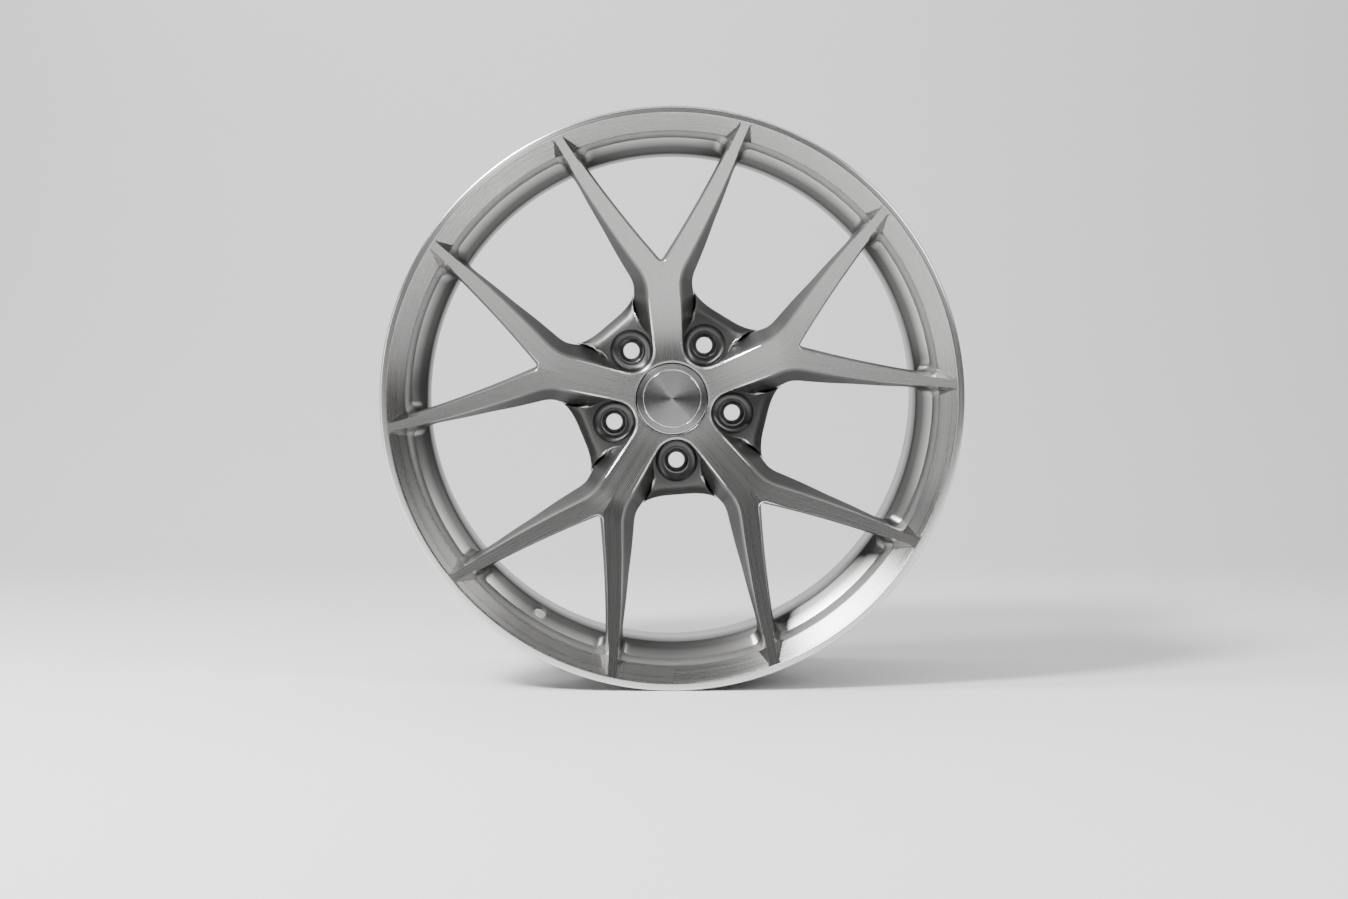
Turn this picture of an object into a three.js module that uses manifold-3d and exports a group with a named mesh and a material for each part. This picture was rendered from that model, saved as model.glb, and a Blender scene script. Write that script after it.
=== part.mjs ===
// Forged ten-arm road racing wheel: five Y spokes, 20 x 9.5 inch, 5 x 120 mm bolt circle.
// Units are millimetres. The axle runs along Y, the outboard face looks towards -Y and +Z is up.
// A depth is measured rearwards from the outboard edge of the rim, and depthToY turns it into Y.
// Rim, hub and spokes are one forging; they are separate solids here, GAP apart. Each spoke carries
// half of the web on either side of it, so two spokes meet at every lug hole.
import * as THREE from 'three';
import { mergeVertices } from 'three/addons/utils/BufferGeometryUtils.js';
import Module from 'manifold-3d';

// ---------------------------------------------------------------- driving dimensions
const SPOKE_COUNT = 5;
const REST_TURN_DEG = 4.4;          // how far the wheel has rolled from one spoke straight up
const FACETS = 60;                  // facets round the big turned surfaces
const SMALL_FACETS = 24;            // and round the small ones
const GAP = 0.3;                    // clearance between pieces that seat on each other
const OVERLAP = 10;                 // how far cuts that follow on from each other run together

// rim
const RIM_WIDTH = 266;
const FLANGE_R = 273.7;
const FLANGE_HEIGHT = 17.3;         // from the bead seat to the top of the flange
const FLANGE_T = 12.8;              // flange thickness along the axle
const FLANGE_EDGE = 3;              // radial width of the rounding at the flange's edge
const LAND_T = 6.7;                 // radial width of the land on the outboard flange
const LIP_TOP = 2;                  // the lip face starts this far behind the land
const LIP_RUN = 15.5;               // radial run of the conical lip face
const LIP_DROP = 16;                // how far the lip face falls
const STEP_RUN = 5.8;               // taper of the wall below the lip face
const STEP_DEPTH = 45;              // depth where that wall meets the well slope
const BEAD_SEAT_W = 20;             // from the flange to the safety hump
const SEAT_TAPER = 1.7;             // how far the bead seat falls towards the well
const HUMP_RISE = 1.3;              // height of the hump
const HUMP_W = 7.5;                 // and its width, with the fall beyond it
const WELL_DROP = 23.2;             // from the bead seat to the inside of the well
const WELL_WALL = 5.4;
const WELL_FALL = 8.5;              // depth of the slope between the step wall and the well
const WELL_LENGTH = 42.5;
const RAMP_RISE = 6.4;              // the barrel widens this much behind the well
const RAMP_LENGTH = 22;
const BARREL_WALL = 6.2;
const REAR_STEP = 8.4;              // from the bead seat to the inside of the rear edge
const REAR_EDGE = 5;                // chamfer there
const REAR_LENGTH = 30;             // length of the rear edge's straight inside

// spoked centre
const FACE_DEPTH = 46;              // hub face, behind the outboard edge
const MOUNT_DEPTH = 98;             // hub mounting face, behind the outboard edge
const HUB_FLAT_R = 50;              // the face is flat inside this radius
const FACE_CURVE = 1.35;            // how the face sweeps forward to the land
const FACE_RINGS = 8;               // rings of facets along that sweep
const PAD_BEYOND_LUGS = 17;         // the mounting pad reaches this far past the lug circle
const PAD_RAMP = 6;                 // and falls to the spokes' backs over this run
const PAD_RELIEF = 9;               // how far the spokes' backs stay forward of the pad
const SPOKE_BACK_RISE = 0.27;       // forward slope of the spokes' backs
const HUB_TO_SEAT = 1.8;            // the hub solid ends this far inside the lug seats
const BROAD_HALF = 14;              // half width of the broad arm
const FORK_BEYOND_LUGS = 45;        // the broad arm begins to widen this far past the lug circle
const FORK_REACH = 25;              // length of the fork's outer curve
const FORK_SLOPE = 0.64;            // outward slope of the arm's outer edge past the fork
const OUTER_BEND = 0.0005;          // how fast that slope eases towards the rim
const CROTCH_RISE = 25.5;           // bottom of the V window past the start of the fork
const CROTCH_R = 6;                 // its corner radius
const V_SLOPE = 0.76;               // outward slope of the arm's inner edge
const INNER_BEND = 0.0008;
const POCKET_DRAFT = 0.03;          // sideways run of a lug pocket's wall for each mm of depth
const U_DRAFT_HUB = 0.34;           // and of a U window's wall, at the fork
const U_DRAFT_RIM = 0.08;           // and at the rim
const V_DRAFT = 0.09;
const WEB_BEYOND_LUGS = 32;         // outer edge of the web that carries a lug seat
const WEB_HALF = 14;                // half width of that edge's straight part
const SADDLE_DEPTH = 70;            // the web's front, beyond the lug pocket

// lug circle and seats
const LUG_CIRCLE_R = 60;
const LUG_HOLE_R = 7.6;
const POCKET_ROOM = 7.2;            // from a lug seat to the wall of its round pocket
const POCKET_FLOOR = 76;            // depth of the lug pocket floor
const SEAT_OUTER_R = 13.2;
const SEAT_LAND = 2;                // flat ring round the seat's cone
const SEAT_T = 12;
const SEAT_CONE_DEG = 30;           // half angle of the 60 degree cone

// bore and centre cap
const BORE_R = 36.3;                // 72.6 mm hub spigot
const CAP_SEAT_LEDGE = 1.7;         // the cap's counterbore is this much smaller in radius
const CAP_SEAT_DROP = 5.2;          // depth of the counterbore in the hub face
const SNAP_LEDGE = 5.3;             // the snap lip stands this far inside the bore
const SNAP_LIP_T = 7.6;
const CAP_T = 3;
const CAP_GAP = 0.4;                // thin ring left open round the cap
const CAP_PROUD = 0.4;
const CAP_EDGE = 0.5;               // chamfer on the cap's rim
const SPIGOT_ROOM = 10.2;           // from the cap's spigot to the clip's legs, for the screws
const INDEX_RING_SHARE = 0.8;       // shallow turned groove, as a share of the cap's radius
const INDEX_RING_W = 0.9;
const INDEX_RING_D = 0.35;
const CLIP_FLANGE_T = 2;
const CLIP_WALL = 2.6;
const CLIP_LEGS = 6;
const CLIP_SLIT_DEG = 26;
const CLIP_SLIT_DROP = 4;           // the legs part this far below the clip's flange
const BARB_T = 2.2;
const BARB_OUT = 1;                 // how far a barb reaches past the snap lip
const SPRING_WIRE_R = 0.7;
const SPRING_RAISE = 3.3;           // from the legs' tips to the wire
const ORING_R = 0.9;
const ORING_DROP = 2.2;             // from the clip's flange to the middle of the O-ring
const ORING_GAP = 0.2;              // from the O-ring to the snap lip
const SCREW_COUNT = 4;
const SCREW_OUTSIDE = 5;            // the screws' circle lies this far outside the cap's spigot
const SCREW_R = 1.2;
const SCREW_HEAD_R = 2.4;
const SCREW_HEAD_T = 1.5;
const SCREW_SOCKET_R = 1;
const SCREW_SOCKET_D = 0.8;
const SCREW_BITE = 1.8;             // how far the screws go into the cap

// valve hole, in the slope between the step wall and the well
const VALVE_SPOKE = 2;              // counted anticlockwise from the spoke that stands up
const VALVE_HOLE_R = 5.75;
const VALVE_SPOT_R = 9.2;
const VALVE_SPOT_T = 0.8;

// ---------------------------------------------------------------- derived values
const DEG = Math.PI / 180;
const SPOKE_ANGLE = 2 * Math.PI / SPOKE_COUNT;
const LUG_ANGLE = SPOKE_ANGLE / 2;  // from a spoke to the lug hole beside it
const LAND_R = FLANGE_R - LAND_T;
const STEP_R = LAND_R - LIP_RUN;
const WALL_R = STEP_R - STEP_RUN;
const LIP_END = LIP_TOP + LIP_DROP;
const BEAD_SEAT_R = FLANGE_R - FLANGE_HEIGHT;
const WELL_INNER_R = BEAD_SEAT_R - WELL_DROP;
const WELL_OUTER_R = WELL_INNER_R + WELL_WALL;
const WELL_START = STEP_DEPTH + WELL_FALL;
const WELL_END = WELL_START + WELL_LENGTH;
const REAR_INNER_R = BEAD_SEAT_R - REAR_STEP;
const HUB_R = LUG_CIRCLE_R - SEAT_OUTER_R - HUB_TO_SEAT;
const PAD_R = LUG_CIRCLE_R + PAD_BEYOND_LUGS;
const FORK_START = LUG_CIRCLE_R + FORK_BEYOND_LUGS;
const CROTCH_AT = FORK_START + CROTCH_RISE;
const WEB_R = LUG_CIRCLE_R + WEB_BEYOND_LUGS;
const CLEAR_R = FLANGE_R + 40;      // outside everything
const CLEAR_DEPTH = RIM_WIDTH / 2;  // behind the whole spoked centre
const POCKET_R = SEAT_OUTER_R + POCKET_ROOM;
const SEAT_BACK = POCKET_FLOOR + SEAT_T;
const SEAT_CONE_R = SEAT_OUTER_R - SEAT_LAND;
const CAP_SEAT_R = BORE_R - CAP_SEAT_LEDGE;
const SNAP_LIP_R = BORE_R - SNAP_LEDGE;
const CAP_FRONT = FACE_DEPTH - CAP_PROUD;
const CAP_BACK = CAP_FRONT + CAP_T;
const CAP_R = CAP_SEAT_R - CAP_GAP;
const INDEX_RING_R = INDEX_RING_SHARE * CAP_R;
const CAP_SEAT_AT = FACE_DEPTH + CAP_SEAT_DROP;
const SNAP_LIP_BACK = CAP_SEAT_AT + SNAP_LIP_T;
const CLIP_BACK = CAP_SEAT_AT - GAP;
const CLIP_FRONT = CLIP_BACK - CLIP_FLANGE_T;
const CLIP_OUTER_R = SNAP_LIP_R - 2 * GAP;
const CLIP_INNER_R = CLIP_OUTER_R - CLIP_WALL;
const CAP_SPIGOT_R = CLIP_INNER_R - SPIGOT_ROOM;
const BARB_FROM = SNAP_LIP_BACK + GAP;
const CLIP_TIP = BARB_FROM + BARB_T;
const ORING_AT = CLIP_BACK + ORING_DROP;
const ORING_RING_R = SNAP_LIP_R - ORING_GAP - ORING_R;
const SPRING_RING_R = CLIP_INNER_R - GAP - SPRING_WIRE_R;
const SPRING_AT = CLIP_TIP - SPRING_RAISE;
const SCREW_CIRCLE_R = CAP_SPIGOT_R + SCREW_OUTSIDE;

const wasm = await Module();
wasm.setup();

// ---------------------------------------------------------------- helpers
const depthToY = (depth) => depth - RIM_WIDTH / 2;
const range = (count) => Array.from({ length: count }, (_, i) => i);
const between = (a, b, count) => range(count).map((i) => a + (b - a) * i / (count - 1));
const mirrored = (points) => points.map(([x, z]) => [-x, z]).reverse();

function rotate([x, z], angle) {
  const c = Math.cos(angle);
  const s = Math.sin(angle);
  return [x * c - z * s, x * s + z * c];
}

function arc(cx, cz, r, from, to, count) {
  return between(from, to, count).map((angle) => [cx + r * Math.cos(angle), cz + r * Math.sin(angle)]);
}

/** A closed BufferGeometry as a solid that can be joined and cut. */
function toSolid(geometry) {
  const bare = geometry.clone();
  bare.deleteAttribute('normal');
  bare.deleteAttribute('uv');
  const merged = mergeVertices(bare, 1e-4);
  const index = merged.index.array;
  const kept = [];
  for (let i = 0; i < index.length; i += 3) {
    const [a, b, c] = index.slice(i, i + 3);
    if (a !== b && b !== c && c !== a) kept.push(a, b, c);
  }
  return new wasm.Manifold(new wasm.Mesh({
    numProp: 3,
    vertProperties: new Float32Array(merged.attributes.position.array),
    triVerts: new Uint32Array(kept),
  }));
}

/** A cut solid back as a BufferGeometry. */
function toGeometry(solid) {
  const mesh = solid.getMesh();
  const geometry = new THREE.BufferGeometry();
  geometry.setAttribute('position', new THREE.BufferAttribute(new Float32Array(mesh.vertProperties), 3));
  geometry.setIndex(new THREE.BufferAttribute(new Uint32Array(mesh.triVerts), 1));
  geometry.computeVertexNormals();
  return geometry;
}

/** Turns a [radius, depth] outline round the axle. An outline off the axis closes on itself. */
function turned(outline, facets = FACETS) {
  const points = outline.map(([r, depth]) => new THREE.Vector2(r, depthToY(depth)));
  const onAxis = outline[0][0] === 0;
  if (THREE.ShapeUtils.area(points) < 0) points.reverse();
  if (!onAxis) points.push(points[0].clone());
  return new THREE.LatheGeometry(points, facets);
}

/** A prism between a front outline and a rear one with as many points, both in the (X, Z) plane. */
function prism(front, rear, from, to) {
  const shape = new THREE.Shape(front.map(([x, z]) => new THREE.Vector2(x, z)));
  const geometry = new THREE.ExtrudeGeometry(shape, { depth: 1, steps: 1, bevelEnabled: false });
  const position = geometry.attributes.position;
  for (let i = 0; i < position.count; i += 1) {
    const [x, z] = [position.getX(i), position.getY(i)];
    const distance = (p) => Math.hypot(p[0] - x, p[1] - z);
    const nearest = front.reduce((best, p, j) => (distance(p) < distance(front[best]) ? j : best), 0);
    const atFront = position.getZ(i) > 0.5;
    const point = atFront ? front[nearest] : rear[nearest];
    position.setXYZ(i, point[0], depthToY(atFront ? from : to), point[1]);
  }
  return geometry;
}

/** A cylinder along the axle direction at a place on the face. */
function drilled(r, x, z, from, to) {
  const geometry = new THREE.CylinderGeometry(r, r, to - from, SMALL_FACETS);
  geometry.translate(x, depthToY((from + to) / 2), z);
  return geometry;
}

const cutAll = (solid, cutters) => cutters.reduce((left, cutter) => left.subtract(toSolid(cutter)), solid);

/** Copies of a geometry turned round the axle, one for each spoke. */
function aroundAxle(geometry, count = SPOKE_COUNT) {
  return range(count).map((i) => geometry.clone().rotateY(-i * 2 * Math.PI / count));
}

// ---------------------------------------------------------------- shape of the spoked centre
/** Depth of the spoked face at a radius: flat at the hub, then a sweep forward to the land. */
function faceDepth(r) {
  const reach = Math.min(1, Math.max(0, r - HUB_FLAT_R) / (LAND_R - HUB_FLAT_R));
  return FACE_DEPTH - (FACE_DEPTH - LIP_TOP - GAP) * reach ** FACE_CURVE;
}

/** Depth of the spokes' backs at a radius. */
const backDepth = (r) => MOUNT_DEPTH - PAD_RELIEF - SPOKE_BACK_RISE * (r - PAD_R);

/** Sideways place of the arm's outer edge at height a along its spoke. */
function outerEdge(a) {
  const curve = FORK_SLOPE / (2 * FORK_REACH);
  const along = Math.min(Math.max(a - FORK_START, 0), FORK_REACH);
  const past = Math.max(a - FORK_START - FORK_REACH, 0);
  return BROAD_HALF + curve * along ** 2 + FORK_SLOPE * past - OUTER_BEND * past ** 2;
}

/** Sideways place of the arm's inner edge, beside the V window, past its rounded crotch. */
function innerEdge(a) {
  const lean = Math.atan(V_SLOPE);
  const past = a - CROTCH_AT - CROTCH_R * (1 - Math.sin(lean));
  return CROTCH_R * Math.cos(lean) + V_SLOPE * past - INNER_BEND * past ** 2;
}

/** Points of an arm's edge with their normals out of the window, carried on past the rim. */
function edgePoints(edge, heights) {
  const step = 0.5;
  const points = heights.map((a) => {
    const slope = (edge(a + step) - edge(a - step)) / (2 * step);
    const length = Math.hypot(1, slope);
    return { at: [edge(a), a], normal: [-1 / length, slope / length] };
  });
  const last = points[points.length - 1];
  const reach = CLEAR_R / Math.hypot(...last.at);
  points.push({ at: last.at.map((v) => v * reach), normal: last.normal });
  return points;
}

/** Where a drafted wall that meets the face at an edge point stands at another depth. */
function wallAt({ at, normal }, depth, draft) {
  const r = Math.hypot(...at);
  const push = draft(r) * (faceDepth(r) - depth);
  return [at[0] + normal[0] * push, at[1] + normal[1] * push];
}

/** Draft of a U window's wall: steep round the lug, widest at the fork and steep again at the rim. */
function uDraft(r) {
  const share = Math.max(0, (r - FORK_START) / (WALL_R - FORK_START));
  const towardsLug = Math.max(0, (FORK_START - r) / (FORK_START - LUG_CIRCLE_R));
  if (r < FORK_START) return U_DRAFT_HUB + (POCKET_DRAFT - U_DRAFT_HUB) * Math.min(1, towardsLug);
  return U_DRAFT_HUB + (U_DRAFT_RIM - U_DRAFT_HUB) * Math.min(1, share);
}

/** Right-hand edge of a U window, in a frame whose +Z runs through the lug hole. */
function uSide(heights) {
  return edgePoints(outerEdge, heights).map(({ at, normal }) => ({
    at: rotate([-at[0], at[1]], -LUG_ANGLE),
    normal: rotate([-normal[0], normal[1]], -LUG_ANGLE),
  }));
}

// heights along a spoke where its edges get points
const ARM_END = LAND_R - 11;
const FORK_HEIGHTS = between(FORK_START + FORK_REACH / 3, FORK_START + FORK_REACH, 3);
const ARM_HEIGHTS = [...FORK_HEIGHTS, ...between(FORK_START + FORK_REACH + 20, ARM_END, 5)];

/** U window, down to the saddle in front of the web. */
function bowlCutter() {
  const edgeR = LUG_CIRCLE_R * Math.sin(LUG_ANGLE) - BROAD_HALF;
  const bottom = arc(0, 0, 1, -Math.PI / 2, -LUG_ANGLE, 9).map((normal) => ({
    at: [edgeR * normal[0], LUG_CIRCLE_R + edgeR * normal[1]],
    normal,
  }));
  const side = uSide([(LUG_CIRCLE_R + FORK_START) / 2, FORK_START, ...ARM_HEIGHTS]);
  const outline = (depth) => {
    const right = [...bottom, ...side].map((point) => wallAt(point, depth, uDraft));
    return [...right, ...mirrored(right.slice(1))];
  };
  return prism(outline(0), outline(SADDLE_DEPTH), 0, SADDLE_DEPTH);
}

/** The through window beyond the web, with the web's outer edge as its bottom. */
function uWindowCutter() {
  const side = uSide(ARM_HEIGHTS);
  const outline = (depth) => {
    const right = side.map((point) => wallAt(point, depth, uDraft));
    const first = right[0];
    const run = Math.tan(LUG_ANGLE) * (first[1] - WEB_R);
    const corner = new THREE.QuadraticBezierCurve(
      new THREE.Vector2(WEB_HALF, WEB_R),
      new THREE.Vector2(first[0] - run, WEB_R),
      new THREE.Vector2(...first),
    );
    const half = [...corner.getPoints(8).slice(0, -1).map((p) => [p.x, p.y]), ...right];
    return [...half, ...mirrored(half)];
  };
  return prism(outline(SADDLE_DEPTH - OVERLAP), outline(CLEAR_DEPTH), SADDLE_DEPTH - OVERLAP, CLEAR_DEPTH);
}

/** The V window between the two arms of a spoke that stands up. */
function vWindowCutter() {
  const lean = Math.atan(V_SLOPE);
  const centre = CROTCH_AT + CROTCH_R;
  const crotch = arc(0, 0, 1, -Math.PI / 2, -lean, 6).slice(0, -1).map((normal) => ({
    at: [CROTCH_R * normal[0], centre + CROTCH_R * normal[1]],
    normal,
  }));
  const tangent = centre - CROTCH_R * Math.sin(lean);
  const side = edgePoints(innerEdge, between(tangent, ARM_END, 6))
    .map(({ at, normal }) => ({ at, normal: [-normal[0], -normal[1]] }));
  const outline = (depth) => {
    const right = [...crotch, ...side].map((point) => wallAt(point, depth, () => V_DRAFT));
    return [...right, ...mirrored(right.slice(1))];
  };
  return prism(outline(0), outline(CLEAR_DEPTH), 0, CLEAR_DEPTH);
}

function discOutline() {
  const face = between(HUB_FLAT_R, STEP_R - LIP_RUN, FACE_RINGS).map((r) => [r, faceDepth(r)]);
  const back = [WALL_R - 55, FORK_START + FORK_REACH, PAD_R + PAD_RAMP].map((r) => [r, backDepth(r)]);
  return [
    ...face,
    [LAND_R - GAP, LIP_TOP + GAP],
    [STEP_R - GAP, LIP_END + GAP],
    [WALL_R - GAP, STEP_DEPTH],
    ...back,
    [PAD_R, MOUNT_DEPTH],
    [BORE_R, MOUNT_DEPTH],
    [BORE_R, SNAP_LIP_BACK],
    [SNAP_LIP_R, SNAP_LIP_BACK],
    [SNAP_LIP_R, CAP_SEAT_AT],
    [CAP_SEAT_R, CAP_SEAT_AT],
    [CAP_SEAT_R, FACE_DEPTH],
  ];
}

/** A solid disc about the axle, deeper than the spoked centre. */
const core = (r) => toSolid(turned([[0, 0], [r, 0], [r, CLEAR_DEPTH], [0, CLEAR_DEPTH]]));

const disc = toSolid(turned(discOutline()));
const hubGeometry = () => toGeometry(disc.intersect(core(HUB_R)));

/** Everything that is cut round the lug hole at the top: window, pocket, seat bore and bolt hole. */
function lugCutters() {
  return [
    bowlCutter(),
    uWindowCutter(),
    drilled(POCKET_R, 0, LUG_CIRCLE_R, SADDLE_DEPTH - OVERLAP, POCKET_FLOOR),
    drilled(SEAT_OUTER_R + GAP, 0, LUG_CIRCLE_R, SADDLE_DEPTH, SEAT_BACK + GAP),
    drilled(LUG_HOLE_R + GAP, 0, LUG_CIRCLE_R, SADDLE_DEPTH, CLEAR_DEPTH),
  ];
}

/** One Y spoke, standing up, with half a web on either side. */
function spokeGeometry() {
  const apex = GAP / 2 / Math.sin(LUG_ANGLE);
  const wide = (side) => rotate([0, CLEAR_R], side * LUG_ANGLE).map((v, i) => v + i * apex);
  const wedge = [[0, apex], wide(-1), wide(1)];
  const blank = disc.intersect(toSolid(prism(wedge, wedge, 0, CLEAR_DEPTH))).subtract(core(HUB_R + GAP));
  const left = lugCutters().map((cutter) => cutter.rotateY(LUG_ANGLE));
  const right = lugCutters().map((cutter) => cutter.rotateY(-LUG_ANGLE));
  return toGeometry(cutAll(blank, [...left, ...right, vWindowCutter()]));
}

// ---------------------------------------------------------------- rim
/** [inwards from the bead seat, rearwards] steps of the flange, the bead seat and its hump. */
function flankOutline() {
  const hump = FLANGE_T + BEAD_SEAT_W;
  return [
    [FLANGE_R - 0.8, 1.4],
    [FLANGE_R, 4.2],
    [FLANGE_R - 0.9, 7],
    [FLANGE_R - 5.2, 9.6],
    [BEAD_SEAT_R + 2.6, FLANGE_T - 1.4],
    [BEAD_SEAT_R, FLANGE_T + 2.2],
    [BEAD_SEAT_R - SEAT_TAPER, hump],
    [BEAD_SEAT_R - SEAT_TAPER + HUMP_RISE, hump + HUMP_W / 2],
    [BEAD_SEAT_R - SEAT_TAPER - HUMP_RISE, hump + HUMP_W],
  ];
}

function rimOutline() {
  const flank = flankOutline();
  const shoulder = flank[flank.length - 1];
  const wellBlend = (WELL_OUTER_R - WELL_INNER_R) / 2;
  const inboardFlank = flank.map(([r, depth]) => [r, RIM_WIDTH - depth]).reverse();
  return [
    [FLANGE_R - FLANGE_EDGE, 0],
    ...flank,
    [WELL_OUTER_R, WELL_START + wellBlend],
    [WELL_OUTER_R, WELL_END],
    [WELL_OUTER_R + RAMP_RISE, WELL_END + RAMP_LENGTH],
    ...inboardFlank,
    [FLANGE_R - FLANGE_EDGE, RIM_WIDTH],
    [REAR_INNER_R + REAR_EDGE, RIM_WIDTH],
    [REAR_INNER_R, RIM_WIDTH - REAR_EDGE],
    [REAR_INNER_R, RIM_WIDTH - REAR_LENGTH],
    [shoulder[0] - BARREL_WALL, RIM_WIDTH - shoulder[1]],
    [WELL_OUTER_R + RAMP_RISE - BARREL_WALL, WELL_END + RAMP_LENGTH],
    [WELL_INNER_R, WELL_END],
    [WELL_INNER_R, WELL_START],
    [WALL_R, STEP_DEPTH],
    [STEP_R, LIP_END],
    [LAND_R, LIP_TOP],
    [LAND_R, 0],
  ];
}

/** A cylinder through the middle of the valve slope, square to it, at the top of the wheel. */
function valveCylinder(r, from, to) {
  const run = WALL_R - WELL_INNER_R;
  // the slope's normal looks forward and towards the axle
  const tilt = Math.atan2(WELL_FALL, run);
  const geometry = new THREE.CylinderGeometry(r, r, to - from, SMALL_FACETS);
  geometry.translate(0, (from + to) / 2, 0);
  geometry.rotateX(Math.PI + tilt);
  geometry.translate(0, depthToY((WELL_START + STEP_DEPTH) / 2), (WALL_R + WELL_INNER_R) / 2);
  return geometry;
}

function rimGeometry() {
  const cuts = [
    valveCylinder(VALVE_HOLE_R, -4 * WELL_WALL, 4 * WELL_WALL),
    valveCylinder(VALVE_SPOT_R, -VALVE_SPOT_T, WELL_WALL),
  ];
  const turnBy = -VALVE_SPOKE * SPOKE_ANGLE;
  return toGeometry(cutAll(toSolid(turned(rimOutline())), cuts.map((cut) => cut.rotateY(turnBy))));
}

// ---------------------------------------------------------------- lug seats
function seatGeometry() {
  const coneT = (SEAT_CONE_R - LUG_HOLE_R) / Math.tan(SEAT_CONE_DEG * DEG);
  return turned([
    [SEAT_CONE_R, POCKET_FLOOR],
    [SEAT_OUTER_R, POCKET_FLOOR],
    [SEAT_OUTER_R, SEAT_BACK],
    [LUG_HOLE_R, SEAT_BACK],
    [LUG_HOLE_R, POCKET_FLOOR + coneT],
  ], SMALL_FACETS);
}

// ---------------------------------------------------------------- centre cap
const screwAngle = 2 * Math.PI / SCREW_COUNT;
const screwPlaces = range(SCREW_COUNT).map((i) => rotate([0, SCREW_CIRCLE_R], (i + 0.5) * screwAngle));
const screwHoles = (from) => screwPlaces.map((place) => drilled(SCREW_R + GAP, ...place, from, CLIP_TIP));

function capFaceGeometry() {
  const blank = toSolid(turned([
    [0, CAP_FRONT],
    [INDEX_RING_R - INDEX_RING_W / 2, CAP_FRONT],
    [INDEX_RING_R, CAP_FRONT + INDEX_RING_D],
    [INDEX_RING_R + INDEX_RING_W / 2, CAP_FRONT],
    [CAP_R - CAP_EDGE, CAP_FRONT],
    [CAP_R, CAP_FRONT + CAP_EDGE],
    [CAP_R, CAP_BACK],
    [CAP_SPIGOT_R, CAP_BACK],
    [CAP_SPIGOT_R, CLIP_BACK],
    [0, CLIP_BACK],
  ], 2 * SMALL_FACETS));
  return toGeometry(cutAll(blank, screwHoles(CAP_BACK - SCREW_BITE - GAP)));
}

function clipGeometry() {
  const grooveFloor = ORING_RING_R - ORING_R - GAP;
  const blank = toSolid(turned([
    [CAP_SPIGOT_R + GAP, CLIP_FRONT],
    [CAP_R, CLIP_FRONT],
    [CAP_R, CLIP_BACK],
    [CLIP_OUTER_R, CLIP_BACK],
    [CLIP_OUTER_R, ORING_AT - ORING_R - GAP],
    [grooveFloor, ORING_AT - ORING_R - GAP],
    [grooveFloor, ORING_AT + ORING_R + GAP],
    [CLIP_OUTER_R, ORING_AT + ORING_R + GAP],
    [CLIP_OUTER_R, BARB_FROM],
    [SNAP_LIP_R + BARB_OUT, BARB_FROM],
    [CLIP_OUTER_R - BARB_OUT, CLIP_TIP],
    [CLIP_INNER_R, CLIP_TIP],
    [CLIP_INNER_R, CLIP_BACK],
    [CAP_SPIGOT_R + GAP, CLIP_BACK],
  ], 2 * SMALL_FACETS));
  const halfSlit = CLIP_SLIT_DEG * DEG / 2;
  const slitReach = CAP_SEAT_R + BARB_OUT;
  const slit = [[0, 0], rotate([0, slitReach], -halfSlit), rotate([0, slitReach], halfSlit)];
  const slits = aroundAxle(prism(slit, slit, CLIP_BACK + CLIP_SLIT_DROP, CLIP_TIP + GAP), CLIP_LEGS);
  return toGeometry(cutAll(blank, [...slits, ...screwHoles(CAP_FRONT)]));
}

/** A ring of round wire about the axle. */
function wireRing(ringR, wireR, depth) {
  const section = arc(ringR, depth, wireR, 0, 2 * Math.PI, 9).slice(0, -1);
  return turned(section, 2 * SMALL_FACETS);
}

function screwGeometry() {
  const head = CLIP_BACK + GAP;
  return turned([
    [0, CAP_BACK - SCREW_BITE],
    [SCREW_R, CAP_BACK - SCREW_BITE],
    [SCREW_R, head],
    [SCREW_HEAD_R, head],
    [SCREW_HEAD_R, head + SCREW_HEAD_T],
    [SCREW_SOCKET_R, head + SCREW_HEAD_T],
    [SCREW_SOCKET_R, head + SCREW_HEAD_T - SCREW_SOCKET_D],
    [0, head + SCREW_HEAD_T - SCREW_SOCKET_D],
  ], SMALL_FACETS / 2);
}

// ---------------------------------------------------------------- assembly
const finish = (color, roughness, metalness) => () => (
  new THREE.MeshStandardMaterial({ color, roughness, metalness })
);
const brushedAluminium = finish(0xa9abad, 0.32, 1);
const seatSteel = finish(0x6f7173, 0.35, 1);
const turnedAluminium = finish(0xc4c6c8, 0.2, 1);
const blackNylon = finish(0x1a1b1c, 0.6, 0);
const springSteel = finish(0x8c8f92, 0.3, 1);
const nitrileRubber = finish(0x111111, 0.8, 0);
const blackSteel = finish(0x2b2c2e, 0.4, 1);

const wheel = new THREE.Group();
wheel.rotation.y = -REST_TURN_DEG * DEG;

function add(name, geometry, material) {
  const mesh = new THREE.Mesh(geometry, material());
  mesh.name = name;
  wheel.add(mesh);
  return mesh;
}

add('rim', rimGeometry(), brushedAluminium);
add('hub', hubGeometry(), brushedAluminium);
const spoke = spokeGeometry();
range(SPOKE_COUNT).forEach((i) => {
  add(`spoke_${i + 1}`, spoke, brushedAluminium).rotation.y = -i * SPOKE_ANGLE;
});
range(SPOKE_COUNT).forEach((i) => {
  const [x, z] = rotate([0, LUG_CIRCLE_R], (i + 0.5) * SPOKE_ANGLE);
  add(`lug_seat_${i + 1}`, seatGeometry(), seatSteel).position.set(x, 0, z);
});
add('cap_face', capFaceGeometry(), turnedAluminium);
add('cap_clip', clipGeometry(), blackNylon);
add('cap_spring_ring', wireRing(SPRING_RING_R, SPRING_WIRE_R, SPRING_AT), springSteel);
add('cap_o_ring', wireRing(ORING_RING_R, ORING_R, ORING_AT), nitrileRubber);
screwPlaces.forEach(([x, z], i) => {
  add(`cap_screw_${i + 1}`, screwGeometry(), blackSteel).position.set(x, 0, z);
});

export default wheel;
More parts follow.
